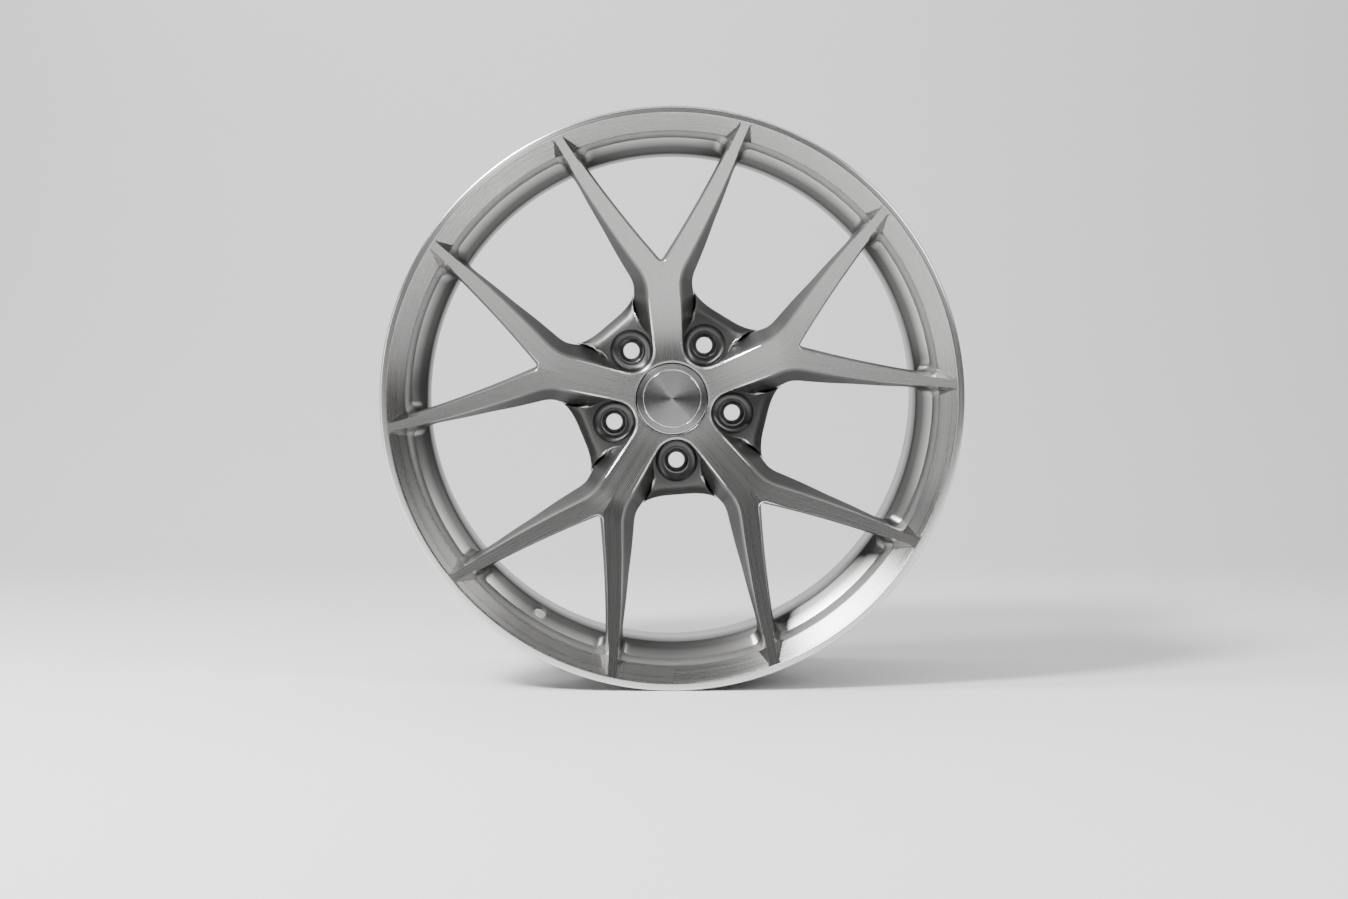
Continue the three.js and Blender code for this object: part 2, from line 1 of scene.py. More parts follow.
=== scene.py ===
"""Looks of the forged racing wheel: five Y spokes in one forging, steel lug seats and a snap-in centre cap.

Lengths inside the shape formulas are millimetres in the wheel's own frame: x is sideways, z is up and
depth runs rearwards from the outboard edge of the rim. Meshes are written in metres in the shared frame.
"""
import sys

import logging
import math
from dataclasses import dataclass
from enum import Enum
from typing import Callable, Iterable

import bmesh
import bpy
import numpy as np
from mathutils import Matrix, Vector


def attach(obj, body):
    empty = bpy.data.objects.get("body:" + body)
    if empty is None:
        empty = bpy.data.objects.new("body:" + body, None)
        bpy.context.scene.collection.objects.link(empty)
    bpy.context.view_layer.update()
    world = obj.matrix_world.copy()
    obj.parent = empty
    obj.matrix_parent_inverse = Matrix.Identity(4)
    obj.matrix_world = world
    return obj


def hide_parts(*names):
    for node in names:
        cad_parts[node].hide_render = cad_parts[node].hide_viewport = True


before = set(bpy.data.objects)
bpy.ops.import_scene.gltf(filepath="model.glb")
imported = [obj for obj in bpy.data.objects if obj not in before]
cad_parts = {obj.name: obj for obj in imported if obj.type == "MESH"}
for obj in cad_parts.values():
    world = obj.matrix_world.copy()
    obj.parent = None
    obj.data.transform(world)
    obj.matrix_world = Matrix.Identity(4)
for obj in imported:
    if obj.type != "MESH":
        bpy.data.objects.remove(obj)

log = logging.getLogger("wheel")
Array = np.ndarray
Table = tuple[tuple[float, float], ...]     # pairs of a radius and a value there
MM = 1000.0             # millimetres in a metre
SHARP = 30.0            # degrees past which the small pieces' edges stay sharp


class Slot(Enum):
    """The record's material slots."""

    FORGING = "forging"
    SEAT = "seat_steel"
    CAP = "cap_face"
    CLIP = "cap_clip"
    SPRING = "spring_wire"
    SEAL = "seal"
    SCREW = "screws"


class Body(Enum):
    """The bodies of the frame."""

    WHEEL = "wheel"
    CAP = "cap"


# ---------------------------------------------------------------- mesh helpers
def turn(points: Array, angle: float) -> Array:
    """Turns (x, z) points by an angle, anticlockwise as seen from the front.

    Args:
        points: (..., 2) array of x and z.
        angle: radians.

    Returns:
        The turned points.
    """
    c, s = math.cos(angle), math.sin(angle)
    x, z = points[..., 0], points[..., 1]
    return np.stack([x * c - z * s, x * s + z * c], -1)


def compass(angles: Array) -> Array:
    """Unit (x, z) vectors at angles from straight up."""
    return np.stack([np.sin(angles), np.cos(angles)], -1)


def smoothstep(t: Array) -> Array:
    """Eases 0..1 with level ends."""
    t = np.clip(t, 0.0, 1.0)
    return t * t * (3 - 2 * t)


@dataclass
class Part:
    """A mesh piece under way: vertices in millimetres (x, depth, z) and faces."""

    verts: Array
    faces: list[list[int]]

    def to_object(self, name: str, width: float) -> bpy.types.Object:
        """Makes the Blender object, in metres, with the middle of the rim's width at y = 0.

        Args:
            name: the object's name.
            width: rim width in millimetres.

        Returns:
            The object, linked to the scene.
        """
        co = self.verts.astype(float).copy()
        co[:, 1] -= width / 2
        mesh = bpy.data.meshes.new(name)
        mesh.from_pydata(co / MM, [], self.faces)
        mesh.validate()
        mesh.update()
        obj = bpy.data.objects.new(name, mesh)
        bpy.context.scene.collection.objects.link(obj)
        return obj


def lathe(profile: Array, segments: int) -> Part:
    """Turns a closed (radius, depth) profile round the axle: x = r sin a, z = r cos a.

    Args:
        profile: (n, 2) closed loop, without a repeated last point. Points on the axis stay single.
        segments: facets round the axle.

    Returns:
        The closed surface of revolution.
    """
    angles = np.arange(segments) * 2 * math.pi / segments
    r, depth = profile[:, 0], profile[:, 1]
    ring = np.stack([
        np.outer(np.sin(angles), r),
        np.broadcast_to(depth, (segments, len(r))),
        np.outer(np.cos(angles), r),
    ], -1)
    on_axis = r < 1e-6
    next_on_axis = np.roll(on_axis, -1)
    kept = np.ones((segments, len(r)), bool)
    kept[1:, on_axis] = False
    ids = np.cumsum(kept).reshape(kept.shape) - 1
    ids[:, on_axis] = ids[0, on_axis]
    turned = np.roll(ids, -1, 0)
    quads = np.stack([ids, np.roll(ids, -1, 1), np.roll(turned, -1, 1), turned], -1).transpose(1, 0, 2)
    faces = quads[~on_axis & ~next_on_axis].reshape(-1, 4).tolist()
    faces += quads[on_axis & ~next_on_axis][..., :3].reshape(-1, 3).tolist()
    faces += quads[~on_axis & next_on_axis][..., [0, 1, 3]].reshape(-1, 3).tolist()
    return Part(ring[kept], faces)


def quads_between(ids: Array) -> Array:
    """Quads that join neighbouring rows of vertex numbers, each row closed on itself.

    Args:
        ids: (rows, count) vertex numbers.

    Returns:
        (faces, 4) vertex numbers.
    """
    here, there = ids[:-1], ids[1:]
    return np.stack([here, np.roll(here, -1, 1), np.roll(there, -1, 1), there], -1).reshape(-1, 4)


def end_cap(row: Array) -> Array:
    """Quads across a loop whose point i mirrors the i-th from its end.

    Args:
        row: vertex numbers of the loop, an even count.

    Returns:
        (faces, 4) vertex numbers.
    """
    half = len(row) // 2
    left, right = row[:half], row[::-1][:half]
    return np.stack([left[:-1], left[1:], right[1:], right[:-1]], -1)


def loft(loops: list[Array]) -> Part:
    """Skins a stack of loops that are mirror images of themselves in x, and caps both ends.

    Args:
        loops: arrays (2n, 3); point i of a loop mirrors point 2n - 1 - i.

    Returns:
        The closed skin.
    """
    stack = np.array(loops)
    ids = np.arange(stack.shape[0] * stack.shape[1]).reshape(stack.shape[:2])
    faces = np.concatenate([quads_between(ids), end_cap(ids[0])[:, ::-1], end_cap(ids[-1])])
    return Part(stack.reshape(-1, 3), faces.tolist())


def looked_up(r: Array, table: Table) -> Array:
    """Values of a table at radii, straight between its pairs."""
    radii, values = zip(*table)
    return np.interp(r, radii, values)


def with_mirror(half: Array) -> Array:
    """Joins a half outline and its mirror image.

    Args:
        half: points with x first, on the x >= 0 side.

    Returns:
        One loop.
    """
    other = half[::-1].copy()
    other[:, 0] *= -1
    return np.concatenate([half, other])


def outward(obj: bpy.types.Object) -> None:
    """Merges coincident points, drops faces without area and turns all faces outwards.

    Args:
        obj: a closed mesh object.
    """
    bm = bmesh.new()
    bm.from_mesh(obj.data)
    bmesh.ops.remove_doubles(bm, verts=bm.verts, dist=2e-7)
    bmesh.ops.dissolve_degenerate(bm, edges=bm.edges, dist=1e-8)
    bmesh.ops.recalc_face_normals(bm, faces=bm.faces)
    bm.to_mesh(obj.data)
    bm.free()


def open_edges(obj: bpy.types.Object) -> int:
    """Counts the edges that don't have exactly two faces.

    Args:
        obj: a mesh object.

    Returns:
        0 for a closed mesh.
    """
    count = np.zeros(len(obj.data.edges), int)
    edge = np.zeros(len(obj.data.loops), int)
    obj.data.loops.foreach_get("edge_index", edge)
    np.add.at(count, edge, 1)
    return int((count != 2).sum())


def cut(obj: bpy.types.Object, tools: list[bpy.types.Object]) -> None:
    """Cuts the tools out of a piece and removes them.

    Args:
        obj: the piece.
        tools: closed cutters.
    """
    for tool in tools:
        outward(tool)
        bad = open_edges(tool)
        if bad:
            log.warning("%s has %d open edges", tool.name, bad)
        modifier = obj.modifiers.new("cut", "BOOLEAN")
        modifier.operation = "DIFFERENCE"
        modifier.solver = "MANIFOLD"
        modifier.object = tool
    depsgraph = bpy.context.evaluated_depsgraph_get()
    mesh = bpy.data.meshes.new_from_object(obj.evaluated_get(depsgraph))
    obj.modifiers.clear()
    mesh.materials.clear()
    mesh.validate()
    obj.data = mesh
    for tool in tools:
        bpy.data.objects.remove(tool)


def smooth_by_angle(obj: bpy.types.Object, degrees: float) -> None:
    """Smooth shading with sharp edges where faces meet at more than the angle."""
    obj.data.shade_smooth()
    obj.data.set_sharp_from_angle(angle=math.radians(degrees))


# ---------------------------------------------------------------- the wheel's shape
@dataclass(frozen=True)
class Shape:
    """Driving sizes of the wheel, in millimetres, and the formulas of its surfaces."""

    spokes: int = 5
    rest_turn: float = math.radians(4.4)    # how far the wheel stands turned
    width: float = 266.0
    land_r: float = 267.0                   # outer edge of the lip, where the flange begins
    lip_top: float = 2.0                    # depth of the lip there
    step_r: float = 251.5                   # inner edge of the lip
    lip_end: float = 18.0                   # depth of the lip there
    wall_r: float = 245.7                   # foot of the step wall
    face: float = 46.0                      # depth of the spoked face at the hub
    mount: float = 98.0                     # depth of the face that bolts to the car's hub
    flat_r: float = 50.0                    # where the face begins to sweep forward
    sweep: float = 1.35                     # power of the sweep
    soften: float = 16.0                    # run over which it sets in
    pad_r: float = 77.0                     # radius of the bolting pad
    back: float = 89.0                      # depth of the spokes' backs beside the pad
    back_rise: float = 0.27                 # how much they come forward for each millimetre outwards
    root: float = 44.4                      # depth of the spokes' backs where they meet the rim
    root_r: float = 244.9
    root_rise: float = 0.187
    bore_r: float = 36.3                    # the spindle bore
    lip_r: float = 31.0                     # the lip in it that the cap snaps past
    cap_seat_r: float = 34.6                # the recess that the cap's face lies in
    lug_circle: float = 60.0                # radius of the circle of lug holes
    floor: float = 76.0                     # depth of the lug pockets
    seat_bore_r: float = 13.4               # the hole that a lug seat is pressed into
    seat_bore_end: float = 88.3
    broad_half: float = 14.0                # half the width of a spoke at the hub
    fork_start: float = 105.0               # height where a spoke begins to widen
    fork_reach: float = 25.0
    fork_curve: float = 0.0128
    outer_lean: float = 0.64                # sideways run of an arm's outer edge past the fork
    outer_bow: float = 0.0005
    crotch: float = 130.5                   # height where the V window begins
    crotch_r: float = 6.0
    inner_lean: float = 0.76                # sideways run of an arm's inner edge
    inner_bow: float = 0.0008

    @property
    def sector(self) -> float:
        """Angle from one spoke to the next."""
        return 2 * math.pi / self.spokes

    def face_depth(self, r: Array) -> Array:
        """Depth of the spoked face: almost level at the hub, then a sweep forward to the land.

        The run past flat_r is rounded off over soften, so that the sweep sets in without an edge.

        Args:
            r: distances from the axle.

        Returns:
            The depths.
        """
        past = np.asarray(r) - self.flat_r
        run = 0.5 * (past + np.sqrt(past * past + self.soften ** 2))
        reach = np.clip(run / (self.land_r - self.flat_r), 0, 1)
        return self.face - (self.face - self.lip_top) * reach ** self.sweep

    def back_depth(self, r: Array) -> Array:
        """Depth of the spokes' backs: a straight cone that levels off at its root on the rim.

        Args:
            r: distances from the axle.

        Returns:
            The depths.
        """
        r = np.asarray(r)
        cone = self.back - self.back_rise * (r - self.pad_r)
        return np.maximum(cone, self.root + self.root_rise * (self.root_r - r))

    def outer_edge(self, a: Array) -> Array:
        """Sideways place of an arm's outer edge: straight, a parabola through the fork, then a slight bow.

        Args:
            a: heights along the spoke.

        Returns:
            The sideways places.
        """
        along = np.clip(a - self.fork_start, 0, self.fork_reach)
        past = np.maximum(a - self.fork_start - self.fork_reach, 0)
        fork = self.broad_half + self.fork_curve * along ** 2
        return fork + self.outer_lean * past - self.outer_bow * past ** 2

    def inner_edge(self, a: Array) -> Array:
        """Sideways place of an arm's inner edge past the rounded crotch of the V window.

        Args:
            a: heights along the spoke.

        Returns:
            The sideways places.
        """
        lean = math.atan(self.inner_lean)
        past = a - self.crotch - self.crotch_r * (1 - math.sin(lean))
        return self.crotch_r * math.cos(lean) + self.inner_lean * past - self.inner_bow * past ** 2

    def wall_radius(self, depth: Array) -> Array:
        """Radius of the step wall under the lip, with its rounded foot."""
        return np.interp(depth, [self.lip_end, 36.0, 39.5, 41.5, 43.4, self.root],
                         [self.step_r, 247.7, 246.9, 246.35, 245.6, self.root_r])


@dataclass(frozen=True)
class Forging:
    """Rim, hub and spokes as the one forging that they are on the real wheel."""

    shape: Shape
    facets: int = 300           # round the axle
    hole_facets: int = 64       # round a drilled hole
    sharp: float = 28.0         # degrees past which an edge stays sharp
    arc: int = 8                # points on a window's corner at the rim
    rim: int = 24               # and along the step wall from there to the line of symmetry
    saddle: float = 70.0        # depth of the saddle between a lug pocket and its U window
    web_from: float = 84.0      # radius where the saddle begins to fall away towards the window
    web_to: float = 108.0       # radius where the window's walls reach the spokes' backs
    web_r: float = 93.9         # distance of the web's outer edge from the axle
    web_flat: float = 9.0       # half the straight run in the middle of that edge
    foot: float = 5.5           # run of the rounded foot of a U window's walls beside the lugs
    corner_r: float = 6.5       # radius of the windows' corners at the rim
    corner_growth: float = 3.0  # how much larger it is at the bottom of the wall
    round_from: float = 0.58    # share of a wall's height where its rounded foot begins
    roll_from: float = 0.8      # share of the way over the web where its edge rolls down
    wall_shares: tuple[float, ...] = (0.0, 0.15, 0.29, 0.45, 0.58, 0.68, 0.77, 0.84, 0.895, 0.935, 0.97,
                                      0.99, 1.0)
    web_shares: tuple[float, ...] = (0.25, 0.5, 0.7, 0.8, 0.84, 0.875, 0.905, 0.93, 0.95, 0.967, 0.982,
                                     0.993, 1.0)
    barrel_r: float = 226.0     # how far out the cutters reach behind the arms
    barrel_from: float = 56.0   # and the least depth there
    v_draft: float = 0.095      # sideways run of a V window's walls for each millimetre of depth
    v_chamfer: Table = ((130, 1.1), (240, 0.8), (252, 0.5))     # size by radius
    u_chamfer: Table = ((40, 1.9), (100, 1.9), (150, 1.2), (240, 0.8), (252, 0.5))
    u_draft: Table = ((55, 0.03), (64, 0.1), (75, 0.32), (88, 0.4), (100, 0.36), (108, 0.335), (115, 0.33),
                      (133, 0.32), (154, 0.273), (176, 0.206), (199, 0.158), (221, 0.103), (245, 0.08))
    lean_share: float = 0.7     # how far the arms' shoulders lean, as a share of their height
    across: int = 24            # points across half the lip
    past_rim: float = 262.0     # height that a window's sides are worked out to, past its corners
    fillet: float = 7.1         # radius between a lug pocket's wall and its floor
    pocket_r: float = 20.8      # the pocket's radius at its top
    shoulder: float = 4.0       # radius that rounds the arms' shoulders off towards the land
    bolt_r: float = 7.9         # bolt holes
    valve_r: float = 5.75
    spot_r: float = 9.2         # flat round the valve hole
    spot_t: float = 0.8         # and its depth
    valve_at: tuple[float, float] = (49.25, 239.45)     # depth and radius of the hole's middle
    valve_slope: tuple[float, float] = (8.5, 12.5)      # fall and run of the slope that it is square to
    valve_spoke: int = 2        # spoke behind which the hole lies, anticlockwise from the one that stands up
    top: float = -30.0          # depth of the cutters' tops, in front of everything
    deep: float = 112.0         # and of their bottoms

    # ------------------------------------------------------------ turned blank
    def profile(self) -> Array:
        """The closed outline of the turned blank: face, flange, bead seat, well and back, then the hub.

        Returns:
            (n, 2) radii and depths.
        """
        s = self.shape
        w = s.width
        face_r = np.concatenate([[s.cap_seat_r + 0.3], np.linspace(37.0, s.flat_r, 8),
                                 np.linspace(s.flat_r + 3, s.land_r, 56)])
        front = np.stack([face_r, s.face_depth(face_r)], -1)
        flange = np.array([
            [s.land_r, 0.35], [s.land_r + 0.35, 0.0], [271.6, 0.0], [272.3, 0.15], [273.0, 0.7],
            [273.5, 1.6], [273.7, 3.0], [273.7, 5.0], [273.3, 6.8], [272.2, 8.3], [270.5, 9.4],
            [268.0, 10.2], [264.5, 11.0], [261.5, 11.6], [259.3, 12.4], [257.6, 13.6], [256.7, 15.0],
            [256.4, 16.5],
        ])
        seat = np.array([
            [254.7, 35.0], [255.0, 36.2], [255.6, 37.4], [256.0, 38.6], [255.9, 39.8], [255.2, 41.0],
            [253.9, 42.3], [252.5, 43.4],
        ])
        well = np.array([
            [241.0, 55.0], [239.6, 56.4], [238.8, 58.0], [238.6, 60.0], [238.6, 96.0], [239.0, 99.0],
            [244.6, 116.5], [245.0, 119.0],
        ])
        outboard = np.concatenate([flange, seat])
        inboard = outboard[::-1].copy()
        inboard[:, 1] = w - inboard[:, 1]
        inboard = inboard[inboard[:, 0] > s.land_r - 20]
        rear = np.array([
            [s.land_r - 9, w], [254.5, w - 0.3], [253.0, w - 1.2], [250.3, w - 3.2], [248.8, w - 4.6],
            [248.2, w - 6.4], [248.0, w - 8.5], [248.0, w - 30.0], [247.4, w - 40.0],
            [239.4, 122.0], [238.9, 119.0], [233.8, 99.5], [233.4, 97.5], [233.2, 95.5],
            [233.2, 56.5], [233.4, 54.9], [234.0, 53.7], [235.0, 52.6],
            [240.7, 48.4], [242.6, 46.9], [244.3, 45.2], [s.root_r, s.root],
        ])
        back_r = np.linspace(242.0, s.pad_r + 8, 36)
        back = np.stack([back_r, s.back_depth(back_r)], -1)
        hub = np.array([
            [s.pad_r + 4, 88.4], [s.pad_r + 1.6, 89.6], [s.pad_r + 0.5, 91.2], [s.pad_r, 93.0],
            [s.pad_r, s.mount - 0.8], [s.pad_r - 0.8, s.mount], [s.bore_r + 1.0, s.mount],
            [s.bore_r, s.mount - 1.0], [s.bore_r, 58.8], [s.lip_r, 58.8], [s.lip_r, 51.9],
            [s.lip_r + 0.7, 51.2], [s.cap_seat_r, 51.2], [s.cap_seat_r, s.face],
            [s.cap_seat_r + 0.1, s.face - 0.1],
        ])
        return np.concatenate([front, flange, seat, well, inboard, rear, back, hub])

    # ------------------------------------------------------------ windows
    def side(self, edge: Callable[[Array], Array], heights: Array, flip: float) -> tuple[Array, Array]:
        """Points along an arm's edge and their normals, in the spoke's frame.

        Args:
            edge: sideways place as a function of height.
            heights: places along the spoke.
            flip: 1 for normals towards +x, -1 towards -x.

        Returns:
            (n, 2) points and (n, 2) unit normals.
        """
        slope = (edge(heights + 0.25) - edge(heights - 0.25)) / 0.5
        points = np.stack([edge(heights), heights], -1)
        normals = np.stack([np.ones_like(slope), -slope], -1) * flip
        return points, normals / np.linalg.norm(normals, axis=1, keepdims=True)

    def corner(self, points: Array, normals: Array, wall: float, radius: float) -> Array:
        """Ends a side with a rounded corner and a stretch of the step wall up to the line of symmetry.

        Args:
            points: the side's points.
            normals: their normals, out of the window.
            wall: radius of the step wall at this level.
            radius: corner radius.

        Returns:
            The side, resampled to end where the corner begins, then arc + rim more points.
        """
        centres = points - normals * radius
        reach = np.hypot(*centres.T)
        at = int(np.argmax(reach > wall - radius))
        share = (wall - radius - reach[at - 1]) / (reach[at] - reach[at - 1])
        centre = centres[at - 1] * (1 - share) + centres[at] * share
        normal = normals[at - 1] * (1 - share) + normals[at] * share
        end = centre + normal * radius
        along = np.concatenate([[0], np.cumsum(np.hypot(*np.diff(points, axis=0).T))])
        stop = along[at - 1] * (1 - share) + along[at] * share
        keep = along / along[-1] * stop
        kept = np.stack([np.interp(keep, along, points[:, 0]), np.interp(keep, along, points[:, 1])], -1)
        kept[-1] = end
        start = math.atan2(normal[0], normal[1])
        finish = math.atan2(centre[0], centre[1])
        rounded = centre + radius * compass(np.linspace(start, finish, self.arc + 1)[1:])
        last = math.atan2(rounded[-1, 0], rounded[-1, 1])
        angles = np.linspace(last, 0.25 * last / self.rim, self.rim + 1)[1:]
        return np.concatenate([kept, rounded, wall * compass(angles)])

    def wall_loops(self, points: Array, normals: Array, draft: Array, chamfer: Array, bottom: Array,
                   foot: Array | float = 0.0) -> list[Array]:
        """Loops of a window's wall from in front of the face down to its bottom edge.

        Each loop is the side pushed sideways by draft times its depth below the face, less the foot's
        quarter ellipse near the bottom.

        Args:
            points: side of the window where the wall meets the chamfer.
            normals: unit normals out of the window.
            draft: sideways run for each millimetre of depth.
            chamfer: width and depth of the chamfer.
            bottom: depth of the wall's lower edge.
            foot: how far the wall's rounded foot runs out into the floor.

        Returns:
            Full loops (2n, 3) in order of depth.
        """
        s = self.shape
        r = np.hypot(*points.T)
        face = s.face_depth(r)

        def ring(push: Array, depth: Array, radius: float) -> Array:
            """The whole loop at a depth, with the side pushed out of the window."""
            moved = points + normals * push[:, None]
            rim_depth = float(depth[-1])
            plan = self.corner(moved, normals, float(s.wall_radius(rim_depth)), radius)
            depths = np.concatenate([depth, np.full(self.arc + self.rim, rim_depth)])
            return with_mirror(np.stack([plan[:, 0], depths, plan[:, 1]], -1))

        corner_r = self.corner_r
        loops = [ring(chamfer, np.full_like(r, self.top), corner_r), ring(chamfer, face, corner_r)]
        for share in self.wall_shares:
            depth = face + chamfer + share * (bottom - face - chamfer)
            push = draft * (face - depth) - foot * self.ellipse(share, self.round_from)
            loops.append(ring(push, depth, corner_r + self.corner_growth * share))
        return loops

    @staticmethod
    def ellipse(share: float, start: float) -> float:
        """A quarter ellipse: 0 up to start, then steeper and steeper to 1 at a share of 1."""
        return 1 - math.sqrt(max(0.0, 1 - max(0.0, (share - start) / (1 - start)) ** 2))

    def floor_loops(self, last: Array) -> list[Array]:
        """Loops that carry a cutter on from the back of the arms into the open barrel.

        Args:
            last: the loop at the back of the arms.

        Returns:
            Three loops: just below the last one, drawn in past the well, and at the cutter's bottom.
        """
        shrink = np.minimum(1, self.barrel_r / np.hypot(last[:, 0], last[:, 2]))
        below, inner = last.copy(), last.copy()
        below[:, 1] += 0.15
        inner[:, [0, 2]] *= shrink[:, None]
        inner[:, 1] = np.maximum(self.barrel_from, last[:, 1] + 6)
        end = inner.copy()
        end[:, 1] = self.deep
        return [below, inner, end]

    def v_window(self) -> Part:
        """Makes the cutter for the V window between the two arms of a spoke.

        Returns:
            The cutter, for the spoke that stands up.
        """
        s = self.shape
        lean = math.atan(s.inner_lean)
        turns = np.linspace(0.06, math.pi / 2 - lean, 12)[:-1]
        normals = np.stack([np.sin(turns), -np.cos(turns)], -1)
        centre = s.crotch + s.crotch_r
        crotch = np.array([0, centre]) + s.crotch_r * normals
        heights = np.linspace(centre - s.crotch_r * math.sin(lean), self.past_rim, 48)
        side, side_normals = self.side(s.inner_edge, heights, 1.0)
        points = np.concatenate([crotch, side])
        normals = np.concatenate([normals, side_normals])
        r = np.hypot(*points.T)
        draft = np.full_like(r, self.v_draft)
        loops = self.wall_loops(points, normals, draft, looked_up(r, self.v_chamfer), s.back_depth(r))
        return loft(loops + self.floor_loops(loops[-1]))

    def u_side(self, heights: Array) -> tuple[Array, Array]:
        """Right-hand side of a U window, in the frame of the lug hole below it.

        Args:
            heights: places along the spoke.

        Returns:
            (n, 2) points and (n, 2) unit normals.
        """
        points, normals = self.side(self.shape.outer_edge, heights, -1.0)
        mirror = np.array([-1.0, 1.0])
        half = self.shape.sector / 2
        return turn(points * mirror, -half), turn(normals * mirror, -half)

    def u_window(self) -> Part:
        """Makes the cutter for a U window with the saddle below it; the lug pocket is cut by itself.

        Returns:
            The cutter, for a window at the top of the wheel.
        """
        s = self.shape
        half = s.sector / 2
        pocket_r = s.lug_circle * math.sin(half) - s.broad_half
        turns = np.linspace(0.03, math.pi / 2 - half, 16)[:-1]
        round_normals = np.stack([np.sin(turns), -np.cos(turns)], -1)
        pocket = np.array([0, s.lug_circle]) + pocket_r * round_normals
        heights = np.linspace(s.lug_circle * math.cos(half), self.past_rim, 84)
        side, side_normals = self.u_side(heights)
        points = np.concatenate([pocket, side])
        normals = np.concatenate([round_normals, side_normals])
        r = np.hypot(*points.T)
        chamfer, draft = looked_up(r, self.u_chamfer), looked_up(r, self.u_draft)
        foot = self.foot * smoothstep((r - 62.0) / 16.0) * (1 - smoothstep((r - 82.0) / 22.0))
        loops = self.wall_loops(points, normals, draft, chamfer, self.web_front(r), foot)
        loops += self.web_loops(loops[-1])
        return loft(loops + self.floor_loops(loops[-1]))

    def web_loops(self, last: Array) -> list[Array]:
        """Loops that draw a U window's lower end in over the web, and round its outer edge down to the back.

        Args:
            last: the loop at the foot of the walls.

        Returns:
            The loops in order.
        """
        s = self.shape
        loops = []
        n = len(last) // 2
        radius = np.hypot(last[:n, 0], last[:n, 2])
        web = int(np.argmax(radius > self.web_to + 9))
        edge = self.web_edge(last[:n], web)
        for share in self.web_shares:
            fall = self.ellipse(share, self.roll_from)
            loop = last[:n].copy()
            loop[:web + 1] += share * (edge - loop[:web + 1])
            reach = np.hypot(loop[:web + 1, 0], loop[:web + 1, 2])
            front = self.web_front(reach)
            front += (1 - share) * (last[:web + 1, 1] - self.web_front(radius[:web + 1]))
            loop[:web + 1, 1] = front + fall * (s.back_depth(reach) - front)
            loops.append(with_mirror(loop))
        return loops

    def web_front(self, r: Array) -> Array:
        """Depth of the web's front: level near the lugs, then a shoulder that falls to the spokes' backs."""
        roll = smoothstep((r - self.web_from) / (self.web_to - self.web_from))
        return self.saddle + roll * (self.shape.back_depth(r) - self.saddle)

    def pocket(self) -> Part:
        """Makes the cutter for a round lug pocket, with a large fillet between its wall and the seat.

        Returns:
            The cutter, for a pocket at the top of the wheel.
        """
        s = self.shape
        middle = np.array([s.seat_bore_r, s.floor - self.fillet])
        fillet = middle + self.fillet * compass(np.linspace(0, math.pi / 2, 12))
        wall = [[self.pocket_r, 58.0], [self.pocket_r, 50.0], [0, 50.0]]
        outline = np.concatenate([[[0, s.floor]], fillet, wall])
        part = lathe(outline, 96)
        part.verts[:, 2] += s.lug_circle
        return part

    def web_edge(self, half: Array, web: int) -> Array:
        """Outer edge of the web: straight across the middle, then rounded into the foot of the window's side.

        Args:
            half: the half loop at the foot of the walls.
            web: index of the point on the side where the rounding begins.

        Returns:
            (web + 1, 3) points that match the first points of the half loop.
        """
        end = half[web, [0, 2]]
        lean = half[web + 2, [0, 2]] - end
        lean /= np.linalg.norm(lean)
        near = np.array([self.web_flat, self.web_r])
        straight = web // 5
        middle = np.array([0.3, self.web_r])
        line = middle + (near - middle) * np.linspace(0, 1, straight, endpoint=False)[:, None]
        t = np.linspace(0, 1, web - straight + 1)[:, None]
        reach = float(np.hypot(*(end - near)))
        first, second = near + np.array([0.5 * reach, 0.0]), end - lean * 0.3 * reach
        bend = (1 - t) ** 3 * near + 3 * t * (1 - t) ** 2 * first
        bend = bend + 3 * t ** 2 * (1 - t) * second + t ** 3 * end
        plan = np.concatenate([line, bend])
        return np.stack([plan[:, 0], half[:web + 1, 1], plan[:, 1]], -1)

    # ------------------------------------------------------------ lip between the arms
    def scoop(self, edge: Callable[[float], float], margin: float) -> Part:
        """Cutter for the conical lip between two arms, with the arms' leaning shoulders.

        Args:
            edge: the arm's top edge as an angle from the line of symmetry, by radius.
            margin: how far the cutter's top is moved forward, so that no two tops lie in one plane.

        Returns:
            The cutter: rings of radius, each a wall, a shoulder, the cone and their mirror images.
        """
        s = self.shape
        radii = np.concatenate([np.linspace(238.0, 250.0, 7), np.linspace(s.step_r, s.land_r, 16)])
        rings = []
        for r in radii:
            face = float(s.face_depth(r))
            cone = float(np.interp(r, [s.step_r, s.land_r], [s.lip_end, s.lip_top]))
            if r < s.step_r:
                cone = s.lip_end + 3.0
            angle = edge(r)
            reach = max(0.0, r - (s.land_r - self.shoulder))
            fillet = self.shoulder - math.sqrt(max(0.0, self.shoulder ** 2 - reach * reach))
            top = angle - fillet / r
            foot = top - self.lean_share * max(cone - face, 0.02) / r
            spread = np.linspace(foot, 0.5 * foot / self.across, self.across)
            thetas = np.concatenate([[top, top], spread])
            depths = np.concatenate([[self.top, face], np.full(self.across, cone)])
            half = np.stack([r * np.sin(thetas), depths, r * np.cos(thetas)], -1)
            rings.append(with_mirror(half))
        return self.channel(rings, margin)

